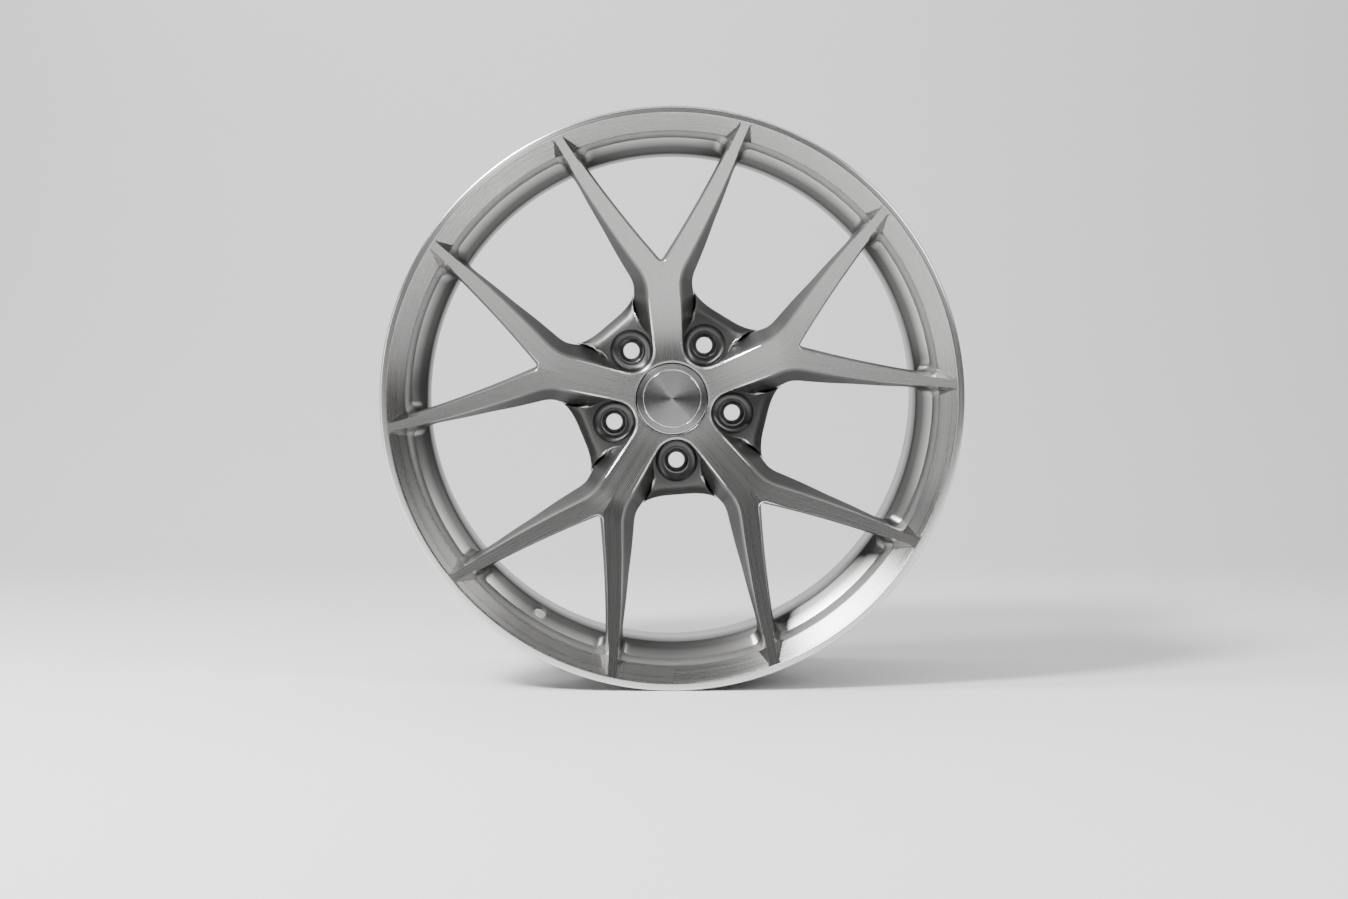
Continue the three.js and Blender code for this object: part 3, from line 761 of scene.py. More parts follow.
    def channel(self, rings: list[Array], margin: float) -> Part:
        """Skins rings that are open channels: each ring's two ends join across the top.

        Args:
            rings: arrays (2n, 3), each a ring of one radius.
            margin: how far the rings' tops are moved forward.

        Returns:
            The closed skin.
        """
        stack = np.array(rings)
        stack[:, :, 1] = np.where(stack[:, :, 1] < self.top + 1, self.top - margin, stack[:, :, 1])
        ids = np.arange(stack.shape[0] * stack.shape[1]).reshape(stack.shape[:2])
        skin = quads_between(ids)[:, [0, 3, 2, 1]]
        faces = np.concatenate([skin, end_cap(ids[0]), end_cap(ids[-1])[:, ::-1]])
        return Part(stack.reshape(-1, 3), faces.tolist())

    def edge_angle(self, edge: Callable[[Array], Array], from_lug: bool) -> Callable[[float], float]:
        """Angle of an arm's top edge from a window's line of symmetry, as a function of radius.

        Args:
            edge: sideways place of the edge as a function of height.
            from_lug: whether the window lies between two spokes instead of between two arms.

        Returns:
            The function.
        """
        a = np.linspace(200.0, 268.0, 140)
        t = edge(a)
        radius = np.hypot(t, a)
        theta = np.arctan2(t, a)
        if from_lug:
            theta = self.shape.sector / 2 - theta
        return lambda r: float(np.interp(r, radius, theta))

    # ------------------------------------------------------------ holes
    def drill(self, r: float, x: float, z: float, start: float, end: float) -> Part:
        """A cylinder along the axle.

        Args:
            r: its radius.
            x: sideways place of its middle.
            z: height of its middle.
            start: depth of its front end.
            end: depth of its rear end.

        Returns:
            The cutter.
        """
        part = lathe(np.array([[0, start], [r, start], [r, end], [0, end]]), self.hole_facets)
        part.verts[:, 0] += x
        part.verts[:, 2] += z
        return part

    def valve(self, r: float, start: float, end: float) -> Part:
        """A cylinder square to the slope between the step wall and the well, at the top of the wheel.

        Its axis is turned from straight back to back and out from the axle.

        Args:
            r: its radius.
            start: its front end, from the slope.
            end: its rear end, from the slope.

        Returns:
            The cutter.
        """
        part = self.drill(r, 0, 0, start, end)
        part.verts[:, 1:] = turn(part.verts[:, 1:], math.atan2(*self.valve_slope)) + np.array(self.valve_at)
        return part

    def around(self, part: Part, name: str, start: float, count: int) -> list[bpy.types.Object]:
        """Copies of a cutter turned round the axle by whole sectors.

        Args:
            part: the cutter, at the top of the wheel.
            name: the copies' name.
            start: angle of the first from the spoke that stands up.
            count: how many.

        Returns:
            The copies as objects.
        """
        tools = []
        for i in range(count):
            plan = turn(part.verts[:, [0, 2]], self.shape.rest_turn + start + i * self.shape.sector)
            verts = np.stack([plan[:, 0], part.verts[:, 1], plan[:, 1]], -1)
            tools.append(Part(verts, part.faces).to_object(f"{name}_{i}", self.shape.width))
        return tools

    def build(self) -> bpy.types.Object:
        """Turns the blank and cuts the windows, the lip and the holes.

        Returns:
            The forging.
        """
        s = self.shape
        body = lathe(self.profile(), self.facets).to_object("forging", s.width)
        outward(body)
        log.info("blank: %d faces, %d open edges", len(body.data.polygons), open_edges(body))
        half, last = s.sector / 2, self.valve_spoke * s.sector
        tools = self.around(self.v_window(), "v_window", 0.0, s.spokes)
        tools += self.around(self.u_window(), "u_window", half, s.spokes)
        tools += self.around(self.scoop(self.edge_angle(s.inner_edge, False), 2.0), "v_scoop", 0.0, s.spokes)
        tools += self.around(self.scoop(self.edge_angle(s.outer_edge, True), 4.0), "u_scoop", half, s.spokes)
        tools += self.around(self.pocket(), "pocket", half, s.spokes)
        seat_bore = self.drill(s.seat_bore_r, 0, s.lug_circle, 0, s.seat_bore_end)
        tools += self.around(seat_bore, "seat_bore", half, s.spokes)
        tools += self.around(self.drill(self.bolt_r, 0, s.lug_circle, 0, 120), "bolt_hole", half, s.spokes)
        tools += self.around(self.valve(self.valve_r, -20, 20), "valve_hole", last, 1)
        tools += self.around(self.valve(self.spot_r, -12, self.spot_t), "valve_spot", last, 1)
        cut(body, tools)
        log.info("forging: %d faces, %d open edges", len(body.data.polygons), open_edges(body))
        smooth_by_angle(body, self.sharp)
        return body


# ---------------------------------------------------------------- grain and painted light
@dataclass(frozen=True)
class PaintedLight:
    """Painted highlights and shade on the metal's faces, as shares of the finish's own colour, and how much
    rougher some faces are.
    """

    painted_shade: float = 0.76        # painted shade: the brightness that walls and pockets lose
    milled_rough: float = 0.45  # and how much rougher they are
    shade_and_rough_from: float = 0.5    # depth below the face where the painted shade and the roughness begin
    shade_and_rough_run: float = 9.0     # and the depth over which both grow
    # painted highlight: brightness of the chamfers in place of their glints, and how far below the face it
    # reaches
    chamfer: float = 2.6
    chamfer_end: float = 2.2    # how far below the face chamfers reach
    # painted highlight on the front edge of the land
    land_highlight: float = 1.9
    gap: float = 0.12           # painted shade in the recess round the cap
    cap_side_shade: float = 0.15      # painted shade on the cap's side past its front edge
    cap_edge: tuple[float, float] = (33.55, 45.75)      # radius and depth of that edge


class Grain:
    """Direction of a surface's brushing, where a point lies along and across it, and painted light, for each
    face corner.
    """

    def __init__(self, obj: bpy.types.Object, shape: Shape, painted_light: PaintedLight = PaintedLight()) -> None:
        """Reads the mesh.

        Args:
            obj: a mesh object whose origin is on the axle.
            shape: the wheel's sizes.
            painted_light: painted highlights and shade of the faces.
        """
        self.mesh = obj.data
        self.shape = shape
        self.painted_light = painted_light
        vertex = self.read(self.mesh.loops, "vertex_index", 1, int)
        at = self.read(self.mesh.vertices, "co", 3, float).reshape(-1, 3)[vertex] * MM
        self.x, self.depth, self.z = at[:, 0], at[:, 1] + shape.width / 2, at[:, 2]
        self.starts = self.read(self.mesh.polygons, "loop_start", 1, int)
        self.totals = self.read(self.mesh.polygons, "loop_total", 1, int)
        self.face = np.repeat(np.arange(len(self.starts)), self.totals)
        self.normal = self.read(self.mesh.polygons, "normal", 3, float).reshape(-1, 3)[self.face]

    @staticmethod
    def read(items: bpy.types.bpy_prop_collection, name: str, width: int, kind: type) -> Array:
        """One value of every item of a mesh, as a flat array.

        Args:
            items: vertices, loops or polygons.
            name: the value's name.
            width: numbers in each value.
            kind: their type.

        Returns:
            The values.
        """
        values = np.zeros(len(items) * width, kind)
        items.foreach_get(name, values)
        return values

    def mean(self, values: Array) -> Array:
        """The mean of a corner value over each corner's own face."""
        return (np.add.reduceat(values, self.starts) / self.totals)[self.face]

    def turned(self) -> tuple[Array, Array]:
        """Grain that runs round the axle.

        Returns:
            Directions and places, (n, 3) each. A place is (angle, radius and depth in one, 0).
        """
        r = np.maximum(np.hypot(self.x, self.z), 1e-6)
        direction = np.stack([self.z / r, np.zeros_like(r), -self.x / r], -1)
        middle = np.arctan2(self.mean(self.x), self.mean(self.z))
        own = np.arctan2(self.x, self.z)
        angle = middle + (own - middle + math.pi) % (2 * math.pi) - math.pi
        return direction, np.stack([angle * 100.0, r + 1.37 * self.depth, np.zeros_like(r)], -1)

    def forged(self) -> tuple[Array, Array]:
        """Grain of the forging: along the arms on their tops, level along their walls, else round the axle.

        Returns:
            Directions and places, (n, 3) each.
        """
        s = self.shape
        direction, place = self.turned()
        r, depth = self.mean(np.hypot(self.x, self.z)), self.mean(self.depth)
        mx, mz = self.mean(self.x), self.mean(self.z)
        sector = np.round((np.arctan2(-mx, mz) - s.rest_turn) / s.sector)
        back = -(s.rest_turn + sector * s.sector)
        c, sn = np.cos(back), np.sin(back)
        side, along = self.x * c - self.z * sn, self.x * sn + self.z * c
        sign = np.where(mx * c - mz * sn < 0, -1.0, 1.0)
        slope = (s.outer_edge(along + 0.5) - s.outer_edge(along - 0.5)) * sign
        length = np.hypot(slope, 1)
        ux, uz = slope / length, 1 / length
        level_with_face = np.abs(depth - s.face_depth(r)) < 0.5
        top = (self.normal[:, 1] < -0.6) & level_with_face & (r < s.land_r - 0.2) & (r > 35)
        direction[top] = np.stack([ux * c + uz * sn, 0 * ux, -ux * sn + uz * c], -1)[top]
        across = np.abs(side) - s.outer_edge(along) + 100.0 * sector + 17.0 * sign
        place[top] = np.stack([along, across, np.full_like(along, 5.0)], -1)[top]
        wall = (np.abs(self.normal[:, 1]) < 0.55) & (r < s.step_r) & (r > 38) & (depth < s.mount - 10)
        inward = (self.normal[:, 0] * mx + self.normal[:, 2] * mz) / np.maximum(r, 1) < -0.9
        wall &= ~(inward & (r > s.wall_r - 3))
        level = np.stack([self.normal[:, 2], np.zeros_like(r), -self.normal[:, 0]], -1)
        level /= np.maximum(np.linalg.norm(level, axis=1, keepdims=True), 1e-6)
        direction[wall] = level[wall]
        place[wall] = np.stack([0 * r, self.depth, np.full_like(r, 9.0)], -1)[wall]
        return direction, place

    def tone(self) -> Array:
        """Painted highlights (chamfers, land edge), painted shade (walls, pockets, cap recess) and roughness.

        Returns:
            (n, 3) shares of brightness and of roughness, and a zero.
        """
        s, t = self.shape, self.painted_light
        r = np.hypot(self.x, self.z)
        below = self.depth - s.face_depth(r)
        inside = 1 - smoothstep((r - s.wall_r + 6) / 6)
        ahead = 1 - smoothstep((self.depth - s.mount + 12) / 8)
        ahead *= 1 - smoothstep((self.normal[:, 1] - 0.2) / 0.3)
        # painted shade: darker the deeper a face lies below the spoked face inside the rim; rougher there too
        dark = smoothstep((below - t.shade_and_rough_from) / t.shade_and_rough_run) * inside * ahead * (r > s.flat_r - 16)
        middle, radius = self.mean(below), self.mean(r)
        # painted highlight on the chamfers just below the face
        chamfer = (self.normal[:, 1] > -0.93) & (self.normal[:, 1] < -0.35)
        chamfer &= (middle < t.chamfer_end) & (middle > -0.3) & (radius > 36) & (radius < s.land_r - 12)
        value = 1 - t.painted_shade * dark
        value[chamfer] = t.chamfer
        # painted highlight on the land's front edge
        value[(radius > s.land_r - 0.5) & (self.depth < 1.0)] = t.land_highlight
        # painted shade in the recess round the cap
        value[(r < s.flat_r - 15) & (self.depth > s.face - 0.06)] = t.gap
        return np.stack([value, 1 + t.milled_rough * dark, np.zeros_like(r)], -1)

    def disc_painted_shade(self) -> Array:
        """Brightness and roughness of a turned piece, with painted shade behind its front edge.

        Returns:
            (n, 3) shares of brightness and of roughness, and a zero.
        """
        edge_r, front = self.painted_light.cap_edge
        # painted shade on the side behind the front edge
        behind = (np.hypot(self.x, self.z) > edge_r) & (self.depth > front)
        value = np.where(behind, self.painted_light.cap_side_shade, 1.0)
        return np.stack([value, np.ones_like(value), np.zeros_like(value)], -1)

    def store(self, direction: Array, place: Array, tone: Array) -> None:
        """Writes all three as attributes of the mesh."""
        # the third attribute carries the painted highlights and shade, and the roughness shares
        for name, values in (("grain", direction), ("grain_at", place / MM), ("tone", tone)):
            attribute = self.mesh.attributes.new(name, "FLOAT_VECTOR", "CORNER")
            attribute.data.foreach_set("vector", values.astype(np.float32).ravel())


# ---------------------------------------------------------------- finishes
@dataclass(frozen=True)
class Finish:
    """A surface finish. Streaks lie along the piece's grain."""

    slot: Slot
    colour: tuple[float, float, float]
    roughness: float
    metallic: float = 1.0
    anisotropy: float = 0.0
    streaks: float = 0.0                # share by which roughness varies
    bump: float = 0.0
    fineness: float = 1500.0            # streaks in a metre across the grain
    lengths: tuple[float, float] = (8.0, 5.0)       # and along it, for the fine and the coarse streaks
    tint: float = 0.2                   # how much of the streaks shows in the colour
    noise_range: tuple[float, float] = (0.7, 1.3)   # what two noises add up to

    def material(self) -> bpy.types.Material:
        """Makes the material of node shaders.

        Returns:
            The material.
        """
        material = bpy.data.materials.new(self.slot.value)
        material.use_nodes = True
        tree = material.node_tree
        shader = tree.nodes["Principled BSDF"]
        shader.inputs["Base Color"].default_value = (*self.colour, 1)
        shader.inputs["Roughness"].default_value = self.roughness
        shader.inputs["Metallic"].default_value = self.metallic
        shader.inputs["Anisotropic"].default_value = self.anisotropy
        shader.inputs["Anisotropic Rotation"].default_value = 0.25
        if self.anisotropy:
            tree.links.new(self.attribute(tree, "grain"), shader.inputs["Tangent"])
        if self.streaks:
            self.brush(tree, shader)
        return material

    def attribute(self, tree: bpy.types.NodeTree, name: str) -> bpy.types.NodeSocket:
        """Reads a mesh attribute.

        Args:
            tree: the material's nodes.
            name: the attribute's name.

        Returns:
            Its vector output.
        """
        node = tree.nodes.new("ShaderNodeAttribute")
        node.attribute_name = name
        return node.outputs["Vector"]

    def noise(self, tree: bpy.types.NodeTree, place: bpy.types.NodeSocket, fineness: float,
              length: float) -> bpy.types.NodeSocket:
        """Noise drawn out along the grain.

        Args:
            tree: the material's nodes.
            place: where a point lies along and across the grain.
            fineness: streaks in a metre across the grain.
            length: streaks in a metre along it.

        Returns:
            The noise.
        """
        mapping = tree.nodes.new("ShaderNodeMapping")
        mapping.inputs["Scale"].default_value = (length, fineness, MM)
        noise = tree.nodes.new("ShaderNodeTexNoise")
        noise.inputs["Scale"].default_value = 1.0
        noise.inputs["Detail"].default_value = 2.0
        tree.links.new(place, mapping.inputs["Vector"])
        tree.links.new(mapping.outputs["Vector"], noise.inputs["Vector"])
        return noise.outputs["Fac"]

    def combine(self, tree: bpy.types.NodeTree, operation: str, first: bpy.types.NodeSocket,
                second: bpy.types.NodeSocket) -> bpy.types.NodeSocket:
        """Two values added or multiplied.

        Args:
            tree: the material's nodes.
            operation: the Math node's operation.
            first: a value.
            second: another.

        Returns:
            The result.
        """
        node = tree.nodes.new("ShaderNodeMath")
        node.operation = operation
        tree.links.new(first, node.inputs[0])
        tree.links.new(second, node.inputs[1])
        return node.outputs[0]

    def brush(self, tree: bpy.types.NodeTree, shader: bpy.types.Node) -> None:
        """Streaks of roughness, colour and height along the grain; stored painted highlights and shade scale
        the colour.

        Args:
            tree: the material's nodes.
            shader: the surface shader.
        """
        links = tree.links
        low, high = self.noise_range
        place = self.attribute(tree, "grain_at")
        fine = self.noise(tree, place, self.fineness, self.lengths[0])
        coarse = self.noise(tree, place, self.fineness * 0.5, self.lengths[1])
        streak = self.combine(tree, "ADD", fine, coarse)
        # painted highlights and shade: the stored brightness share scales the colour, the second share the
        # roughness
        parts = tree.nodes.new("ShaderNodeSeparateXYZ")
        links.new(self.attribute(tree, "tone"), parts.inputs[0])
        rough = tree.nodes.new("ShaderNodeMapRange")
        rough.inputs["From Min"].default_value, rough.inputs["From Max"].default_value = low, high
        rough.inputs["To Min"].default_value = self.roughness * (1 - self.streaks)
        rough.inputs["To Max"].default_value = self.roughness * (1 + self.streaks)
        links.new(streak, rough.inputs["Value"])
        rougher = self.combine(tree, "MULTIPLY", rough.outputs["Result"], parts.outputs[1])
        links.new(rougher, shader.inputs["Roughness"])
        tint = tree.nodes.new("ShaderNodeMapRange")
        tint.data_type = "FLOAT_VECTOR"
        swing = self.tint * self.streaks
        tint.inputs[7].default_value = (low,) * 3
        tint.inputs[8].default_value = (high,) * 3
        tint.inputs[9].default_value = tuple(v * (1 - swing) for v in self.colour)
        tint.inputs[10].default_value = tuple(min(1.0, v * (1 + swing)) for v in self.colour)
        links.new(streak, tint.inputs[6])
        shade = tree.nodes.new("ShaderNodeVectorMath")
        shade.operation = "SCALE"
        links.new(tint.outputs[1], shade.inputs[0])
        links.new(parts.outputs[0], shade.inputs["Scale"])
        links.new(shade.outputs["Vector"], shader.inputs["Base Color"])
        bump = tree.nodes.new("ShaderNodeBump")
        bump.inputs["Strength"].default_value = self.bump
        bump.inputs["Distance"].default_value = 0.0001
        links.new(streak, bump.inputs["Height"])
        links.new(bump.outputs["Normal"], shader.inputs["Normal"])


FINISHES = {f.slot: f for f in (
    Finish(Slot.FORGING, (0.35, 0.345, 0.34), 0.28, 1.0, 0.7, 0.08, 0.015),
    Finish(Slot.SEAT, (0.17, 0.17, 0.175), 0.30, 1.0, 0.5, 0.2, 0.05),
    Finish(Slot.CAP, (0.74, 0.74, 0.74), 0.17, 1.0, 0.88, 0.12, 0.01, 2600.0),
    Finish(Slot.CLIP, (0.03, 0.03, 0.033), 0.5, 0.0),
    Finish(Slot.SPRING, (0.5, 0.51, 0.52), 0.25),
    Finish(Slot.SEAL, (0.02, 0.02, 0.02), 0.6, 0.0),
    Finish(Slot.SCREW, (0.10, 0.10, 0.11), 0.35),
)}


def put_on(obj: bpy.types.Object, finish: Finish, body: Body, nodes: Iterable[str], shape: Shape) -> None:
    """Gives a piece its grain, material, body and the CAD nodes that it stands for.

    Args:
        obj: the piece.
        finish: its finish.
        body: the body that it rides on.
        nodes: names of the CAD nodes.
        shape: the wheel's sizes.
    """
    grain = Grain(obj, shape)
    forged = finish.slot is Slot.FORGING
    direction, place = grain.forged() if forged else grain.turned()
    # painted highlights and shade for the forging, painted shade behind the cap's front edge for the rest
    grain.store(direction, place, grain.tone() if forged else grain.disc_painted_shade())
    obj.data.materials.clear()
    obj.data.materials.append(finish.material())
    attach(obj, body.value)
    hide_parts(*nodes)
    log.info("%s: %d faces, %d open edges", obj.name, len(obj.data.polygons), open_edges(obj))


# ---------------------------------------------------------------- lug seats
@dataclass(frozen=True)
class LugSeats:
    """The steel seat rings in the lug pockets: a bolt hole that widens to a 60 degree cone."""

    shape: Shape
    facets: int = 72
    outer_r: float = 13.2
    hole_r: float = 7.6
    top: float = 76.0           # depth of the ring's front
    bottom: float = 88.0

    def outline(self) -> Array:
        """The closed outline of a ring, with rounded edges.

        Returns:
            (n, 2) radii and depths.
        """
        out, hole, top, bottom = self.outer_r, self.hole_r, self.top, self.bottom
        return np.array([
            [11.3, top + 0.15], [11.6, top - 0.05], [11.9, top], [out - 0.4, top], [out - 0.1, top + 0.2],
            [out, top + 0.5], [out, bottom - 0.4], [out - 0.4, bottom], [hole + 0.4, bottom],
            [hole, bottom - 0.4], [hole, 83.0], [hole + 0.15, 82.3], [hole + 0.4, 81.7], [11.0, top + 0.55],
        ])

    def build(self) -> None:
        """Makes one ring for each pocket; it gets its grain on the axle and is then carried to its place."""
        for i in range(self.shape.spokes):
            name = f"seat_ring_{i + 1}"
            ring = lathe(self.outline(), self.facets).to_object(name, self.shape.width)
            outward(ring)
            smooth_by_angle(ring, SHARP)
            put_on(ring, FINISHES[Slot.SEAT], Body.WHEEL, [f"lug_seat_{i + 1}"], self.shape)
            angle = self.shape.rest_turn + (i + 0.5) * self.shape.sector
            x, z = turn(np.array([0.0, self.shape.lug_circle]), angle) / MM
            ring.data.transform(Matrix.Translation((x, 0, z)))


# ---------------------------------------------------------------- centre cap
@dataclass(frozen=True)
class CentreCap:
    """The snap-in cap: turned face, nylon clip, spring ring, O-ring and four screws."""

    shape: Shape
    face_r: float = 33.6            # the turned face
    face_top: float = 45.6          # depth of its front
    face_back: float = 48.6
    spigot_r: float = 17.6          # the boss behind it
    groove_r: float = 27.4          # middle of the groove in the face
    groove: float = 0.25            # its depth
    ticks: int = 12                 # marks outside the groove
    tick: tuple[float, float, float] = (29.2, 31.6, 0.35)   # their inner and outer radius, and half width
    plate_r: float = 34.2           # the clip's plate
    leg_r: float = 30.4             # its legs
    leg_inner_r: float = 27.8
    barb_r: float = 32.0            # the barbs that pass the snap lip
    legs: int = 6
    slit_half: float = math.radians(13)
    slit: tuple[float, float] = (54.9, 63.0)    # depths of the slits between the legs
    spring: tuple[float, float, float] = (26.8, 58.0, 0.7)  # radius, depth and wire radius
    seal: tuple[float, float, float] = (29.9, 53.1, 0.9)    # radius, depth and cord radius
    screws: int = 4
    screw_circle: float = 22.6
    socket_r: float = 1.1

    def face_outline(self) -> Array:
        """The closed outline of the face: level rings, a groove, a rounded edge and the boss.

        Returns:
            (n, 2) radii and depths.
        """
        r, top, g = self.face_r, self.face_top, self.groove_r
        rings = [[x, top] for x in (0, 1.5, 4, 8, 13, 18, 23, 26, 26.9, 27.0)]
        groove = [[g - 0.25, top + 0.08], [g - 0.15, top + self.groove], [g + 0.15, top + self.groove],
                  [g + 0.25, top + 0.08]]
        outer = [[x, top] for x in (27.8, 27.9, 29.0, 31.5, r - 0.5, r - 0.3)]
        edge = [[r - 0.1, top + 0.06], [r, top + 0.2], [r, self.face_back - 0.2], [r - 0.2, self.face_back]]
        boss = [[self.spigot_r, self.face_back], [self.spigot_r, 50.6], [self.spigot_r - 0.3, 50.9],
                [0, 50.9]]
        return np.array(rings + groove + outer + edge + boss)

    def clip_outline(self) -> Array:
        """The closed outline of the clip: a plate, a neck for the O-ring, and legs with barbs.

        Returns:
            (n, 2) radii and depths.
        """
        hole, plate, leg, inner, barb = 17.9, self.plate_r, self.leg_r, self.leg_inner_r, self.barb_r
        return np.array([
            [hole, 49.1], [hole + 0.2, 48.9], [plate - 0.2, 48.9], [plate, 49.1], [plate, 50.7],
            [plate - 0.2, 50.9], [leg + 0.2, 50.9], [leg, 51.1], [leg, 51.9], [28.7, 51.9], [28.7, 54.3],
            [leg, 54.3], [leg, 59.1], [barb - 0.2, 59.1], [barb, 59.3], [barb - 0.1, 59.5], [29.6, 61.2],
            [29.4, 61.3], [inner + 0.2, 61.3], [inner, 61.1], [inner, 50.9], [hole + 0.2, 50.9], [hole, 50.7],
        ])

    def screw_outline(self) -> Array:
        """The closed outline of a screw: shank and cheese head.

        Returns:
            (n, 2) radii and depths.
        """
        shank, head = 1.2, 2.4
        return np.array([
            [0, 46.8], [shank, 46.8], [shank, 51.2], [head - 0.1, 51.2], [head, 51.3], [head, 52.2],
            [head - 0.1, 52.5], [head - 0.4, 52.7], [0, 52.7],
        ])

    def make(self, part: Part, name: str, tools: list[bpy.types.Object]) -> bpy.types.Object:
        """A closed, smooth object of a part.

        Args:
            part: the shape.
            name: the object's name.
            tools: cutters to take out of it.

        Returns:
            The object.
        """
        obj = part.to_object(name, self.shape.width)
        outward(obj)
        if tools:
            cut(obj, tools)
        smooth_by_angle(obj, SHARP)
        return obj

    def prism(self, plan: Array, start: float, end: float) -> Part:
        """A straight prism along the axle.

        Args:
            plan: (n, 2) convex outline, x and z.
            start: depth of its front.
            end: depth of its back.

        Returns:
            The prism.
        """
        near = np.arange(len(plan))
        after, far = np.roll(near, -1), near + len(plan)
        sides = np.stack([near, after, after + len(plan), far], -1)
        verts = np.concatenate([np.insert(plan, 1, start, axis=1), np.insert(plan, 1, end, axis=1)])
        return Part(verts, sides.tolist() + [near[::-1].tolist(), far.tolist()])

    def around(self, part: Part, name: str, count: int) -> list[bpy.types.Object]:
        """Copies of a cutter turned round the axle.

        Args:
            part: the cutter, at the top.
            name: the copies' name.
            count: how many.

        Returns:
            The copies as objects.
        """
        tools = []
        for i in range(count):
            plan = turn(part.verts[:, [0, 2]], self.shape.rest_turn + i * 2 * math.pi / count)
            verts = np.stack([plan[:, 0], part.verts[:, 1], plan[:, 1]], -1)
            tools.append(Part(verts, part.faces).to_object(name, self.shape.width))
        return tools

    def ring(self, radius: float, depth: float, wire: float) -> Part:
        """A ring of round wire about the axle.

        Args:
            radius: from the axle to the middle of the wire.
            depth: of the middle of the wire.
            wire: radius of the wire.

        Returns:
            The ring.
        """
        turns = np.arange(20) * 2 * math.pi / 20
        section = np.stack([radius + wire * np.cos(turns), depth + wire * np.sin(turns)], -1)
        return lathe(section, 144)

    def dress(self, obj: bpy.types.Object, slot: Slot, node: str) -> None:
        """Gives a cap piece its finish, body and CAD node."""
        put_on(obj, FINISHES[slot], Body.CAP, [node], self.shape)

    def build(self) -> None:
        """Makes all the cap's pieces."""
        inner, outer, half = self.tick
        tick = self.prism(np.array([[-half, inner], [half, inner], [half, outer], [-half, outer]]),
                          45.0, self.face_top + self.groove)
        ticks = self.around(tick, "tick", self.ticks)
        self.dress(self.make(lathe(self.face_outline(), 180), "cap_disc", ticks), Slot.CAP, "cap_face")
        wedge = 36 * compass(np.array([-self.slit_half, self.slit_half]))
        slit = self.prism(np.concatenate([wedge, [[0, 0]]]), *self.slit)
        slits = self.around(slit, "slit", self.legs)
        self.dress(self.make(lathe(self.clip_outline(), 144), "cap_legs", slits), Slot.CLIP, "cap_clip")
        self.dress(self.make(self.ring(*self.spring), "cap_spring", []), Slot.SPRING, "cap_spring_ring")
        self.dress(self.make(self.ring(*self.seal), "cap_seal", []), Slot.SEAL, "cap_o_ring")
        for i in range(self.screws):
            self.build_screw(i)

    def build_screw(self, index: int) -> None:
        """Makes a screw with a hexagon socket.

        Args:
            index: which of the screws.
        """
        angle = self.shape.rest_turn + (index + 0.5) * 2 * math.pi / self.screws
        place = turn(np.array([0.0, self.screw_circle]), angle)
        part = lathe(self.screw_outline(), 40)
        socket = self.prism(self.socket_r * compass(np.arange(6) * math.pi / 3), 51.9, 54.0)
        for piece in (part, socket):
            piece.verts[:, [0, 2]] += place
        tool = socket.to_object("socket", self.shape.width)
        screw = self.make(part, f"cap_bolt_{index + 1}", [tool])
        self.dress(screw, Slot.SCREW, f"cap_screw_{index + 1}")


# ---------------------------------------------------------------- studio
@dataclass(frozen=True)
class Softbox:
    """One area light that faces the wheel, in metres and watts."""

    name: str
    at: tuple[float, float, float]
    size: tuple[float, float]
    power: float

    def build(self) -> None:
        """Hangs the light."""
        data = bpy.data.lights.new(self.name, "AREA")
        data.shape = "RECTANGLE"
        data.size, data.size_y = self.size
        data.energy = self.power
        lamp = bpy.data.objects.new(self.name, data)
        bpy.context.scene.collection.objects.link(lamp)
        lamp.location = self.at
        lamp.rotation_euler = (-Vector(self.at)).to_track_quat("-Z", "Y").to_euler()


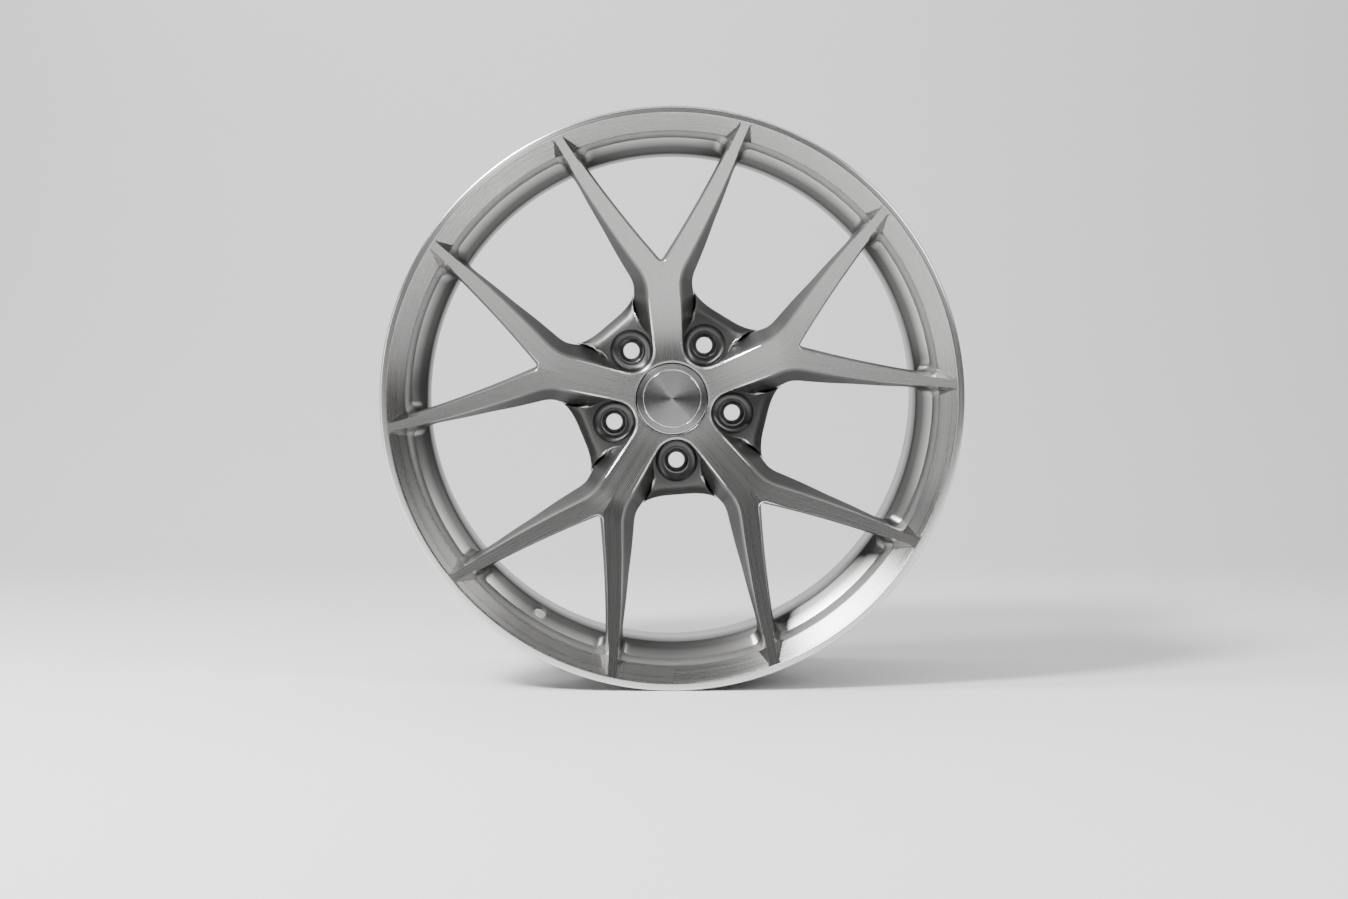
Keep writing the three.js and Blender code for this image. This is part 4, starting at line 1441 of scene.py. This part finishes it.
@dataclass(frozen=True)
class Studio:
    """Camera, pale floor, soft lights and sky, in metres."""

    lens: float = 65.7                          # millimetres
    sensor: float = 36.0
    eye: tuple[float, float, float] = (-0.0229, -2.4309, 0.0464)
    look_right: float = math.radians(0.606)
    look_down: float = math.radians(2.316)
    lights: tuple[Softbox, ...] = (
        Softbox("key", (-1.15, -1.25, 1.6), (0.45, 0.45), 120.0),
        Softbox("rim", (-1.3, -0.42, 1.55), (0.5, 0.9), 42.0),
        Softbox("side", (1.55, -1.45, 1.08), (0.5, 1.0), 34.0),
        Softbox("left", (-2.1, -1.4, 0.15), (0.8, 1.2), 20.0),
        Softbox("over", (0.35, -1.7, 2.1), (2.0, 0.5), 16.0),
        Softbox("top", (0.0, 0.9, 2.4), (3.0, 1.2), 34.0),
    )
    sky: tuple[float, float, float] = (0.8, 0.82, 0.84)
    sky_light: float = 0.06                     # strength as a light
    sky_seen: float = 0.7                       # and as a backdrop
    floor_z: float = -0.2737
    floor_half: float = 5.0
    floor_front: float = -4.0
    bend_start: float = 1.2                     # where the floor begins to curve up
    bend_r: float = 1.2
    floor_top: float = 4.0

    def build(self) -> None:
        """Places everything."""
        self.camera()
        self.floor()
        for light in self.lights:
            light.build()
        self.world()

    def camera(self) -> None:
        """Places the camera."""
        data = bpy.data.cameras.new("camera")
        data.lens = self.lens
        data.sensor_width = self.sensor
        camera = bpy.data.objects.new("camera", data)
        bpy.context.scene.collection.objects.link(camera)
        level = math.cos(self.look_down)
        look = Vector((math.sin(self.look_right) * level, math.cos(self.look_right) * level,
                       -math.sin(self.look_down)))
        camera.location = self.eye
        camera.rotation_euler = look.to_track_quat("-Z", "Y").to_euler()
        bpy.context.scene.camera = camera

    def world(self) -> None:
        """An even sky, faint as a light and pale where it is seen."""
        world = bpy.data.worlds.new("world")
        bpy.context.scene.world = world
        world.use_nodes = True
        nodes, links = world.node_tree.nodes, world.node_tree.links
        background = nodes["Background"]
        background.inputs["Color"].default_value = (*self.sky, 1)
        path = nodes.new("ShaderNodeLightPath")
        strength = nodes.new("ShaderNodeMapRange")
        strength.inputs["To Min"].default_value = self.sky_light
        strength.inputs["To Max"].default_value = self.sky_seen
        links.new(path.outputs["Is Camera Ray"], strength.inputs["Value"])
        links.new(strength.outputs["Result"], background.inputs["Strength"])

    def floor(self) -> None:
        """A pale floor that curves up into a backdrop: a straight, a quarter circle and a straight."""
        turns = np.linspace(0, math.pi / 2, 13)
        bend = np.stack([np.sin(turns), 1 - np.cos(turns)], -1) * self.bend_r
        bend += [self.bend_start, self.floor_z]
        profile = np.concatenate([[[self.floor_front, self.floor_z]], bend, [[bend[-1, 0], self.floor_top]]])
        across = np.tile([-self.floor_half, self.floor_half], len(profile))
        verts = np.insert(np.repeat(profile, 2, axis=0), 0, across, axis=1)
        first = 2 * np.arange(len(profile) - 1)
        mesh = bpy.data.meshes.new("floor")
        mesh.from_pydata(verts, [], np.stack([first, first + 1, first + 3, first + 2], -1).tolist())
        mesh.shade_smooth()
        floor = bpy.data.objects.new("floor", mesh)
        bpy.context.scene.collection.objects.link(floor)
        material = bpy.data.materials.new("floor")
        material.use_nodes = True
        shader = material.node_tree.nodes["Principled BSDF"]
        shader.inputs["Base Color"].default_value = (0.75, 0.75, 0.75, 1)
        shader.inputs["Roughness"].default_value = 0.5
        mesh.materials.append(material)


def main() -> None:
    """Builds the wheel and the studio."""
    logging.basicConfig(level=logging.INFO, format="%(message)s", stream=sys.stdout)
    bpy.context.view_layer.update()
    shape = Shape()
    forging = Forging(shape).build()
    nodes = ["rim", "hub", *[f"spoke_{i + 1}" for i in range(shape.spokes)]]
    put_on(forging, FINISHES[Slot.FORGING], Body.WHEEL, nodes, shape)
    LugSeats(shape).build()
    CentreCap(shape).build()
    Studio().build()


if __name__ == "__main__":
    main()
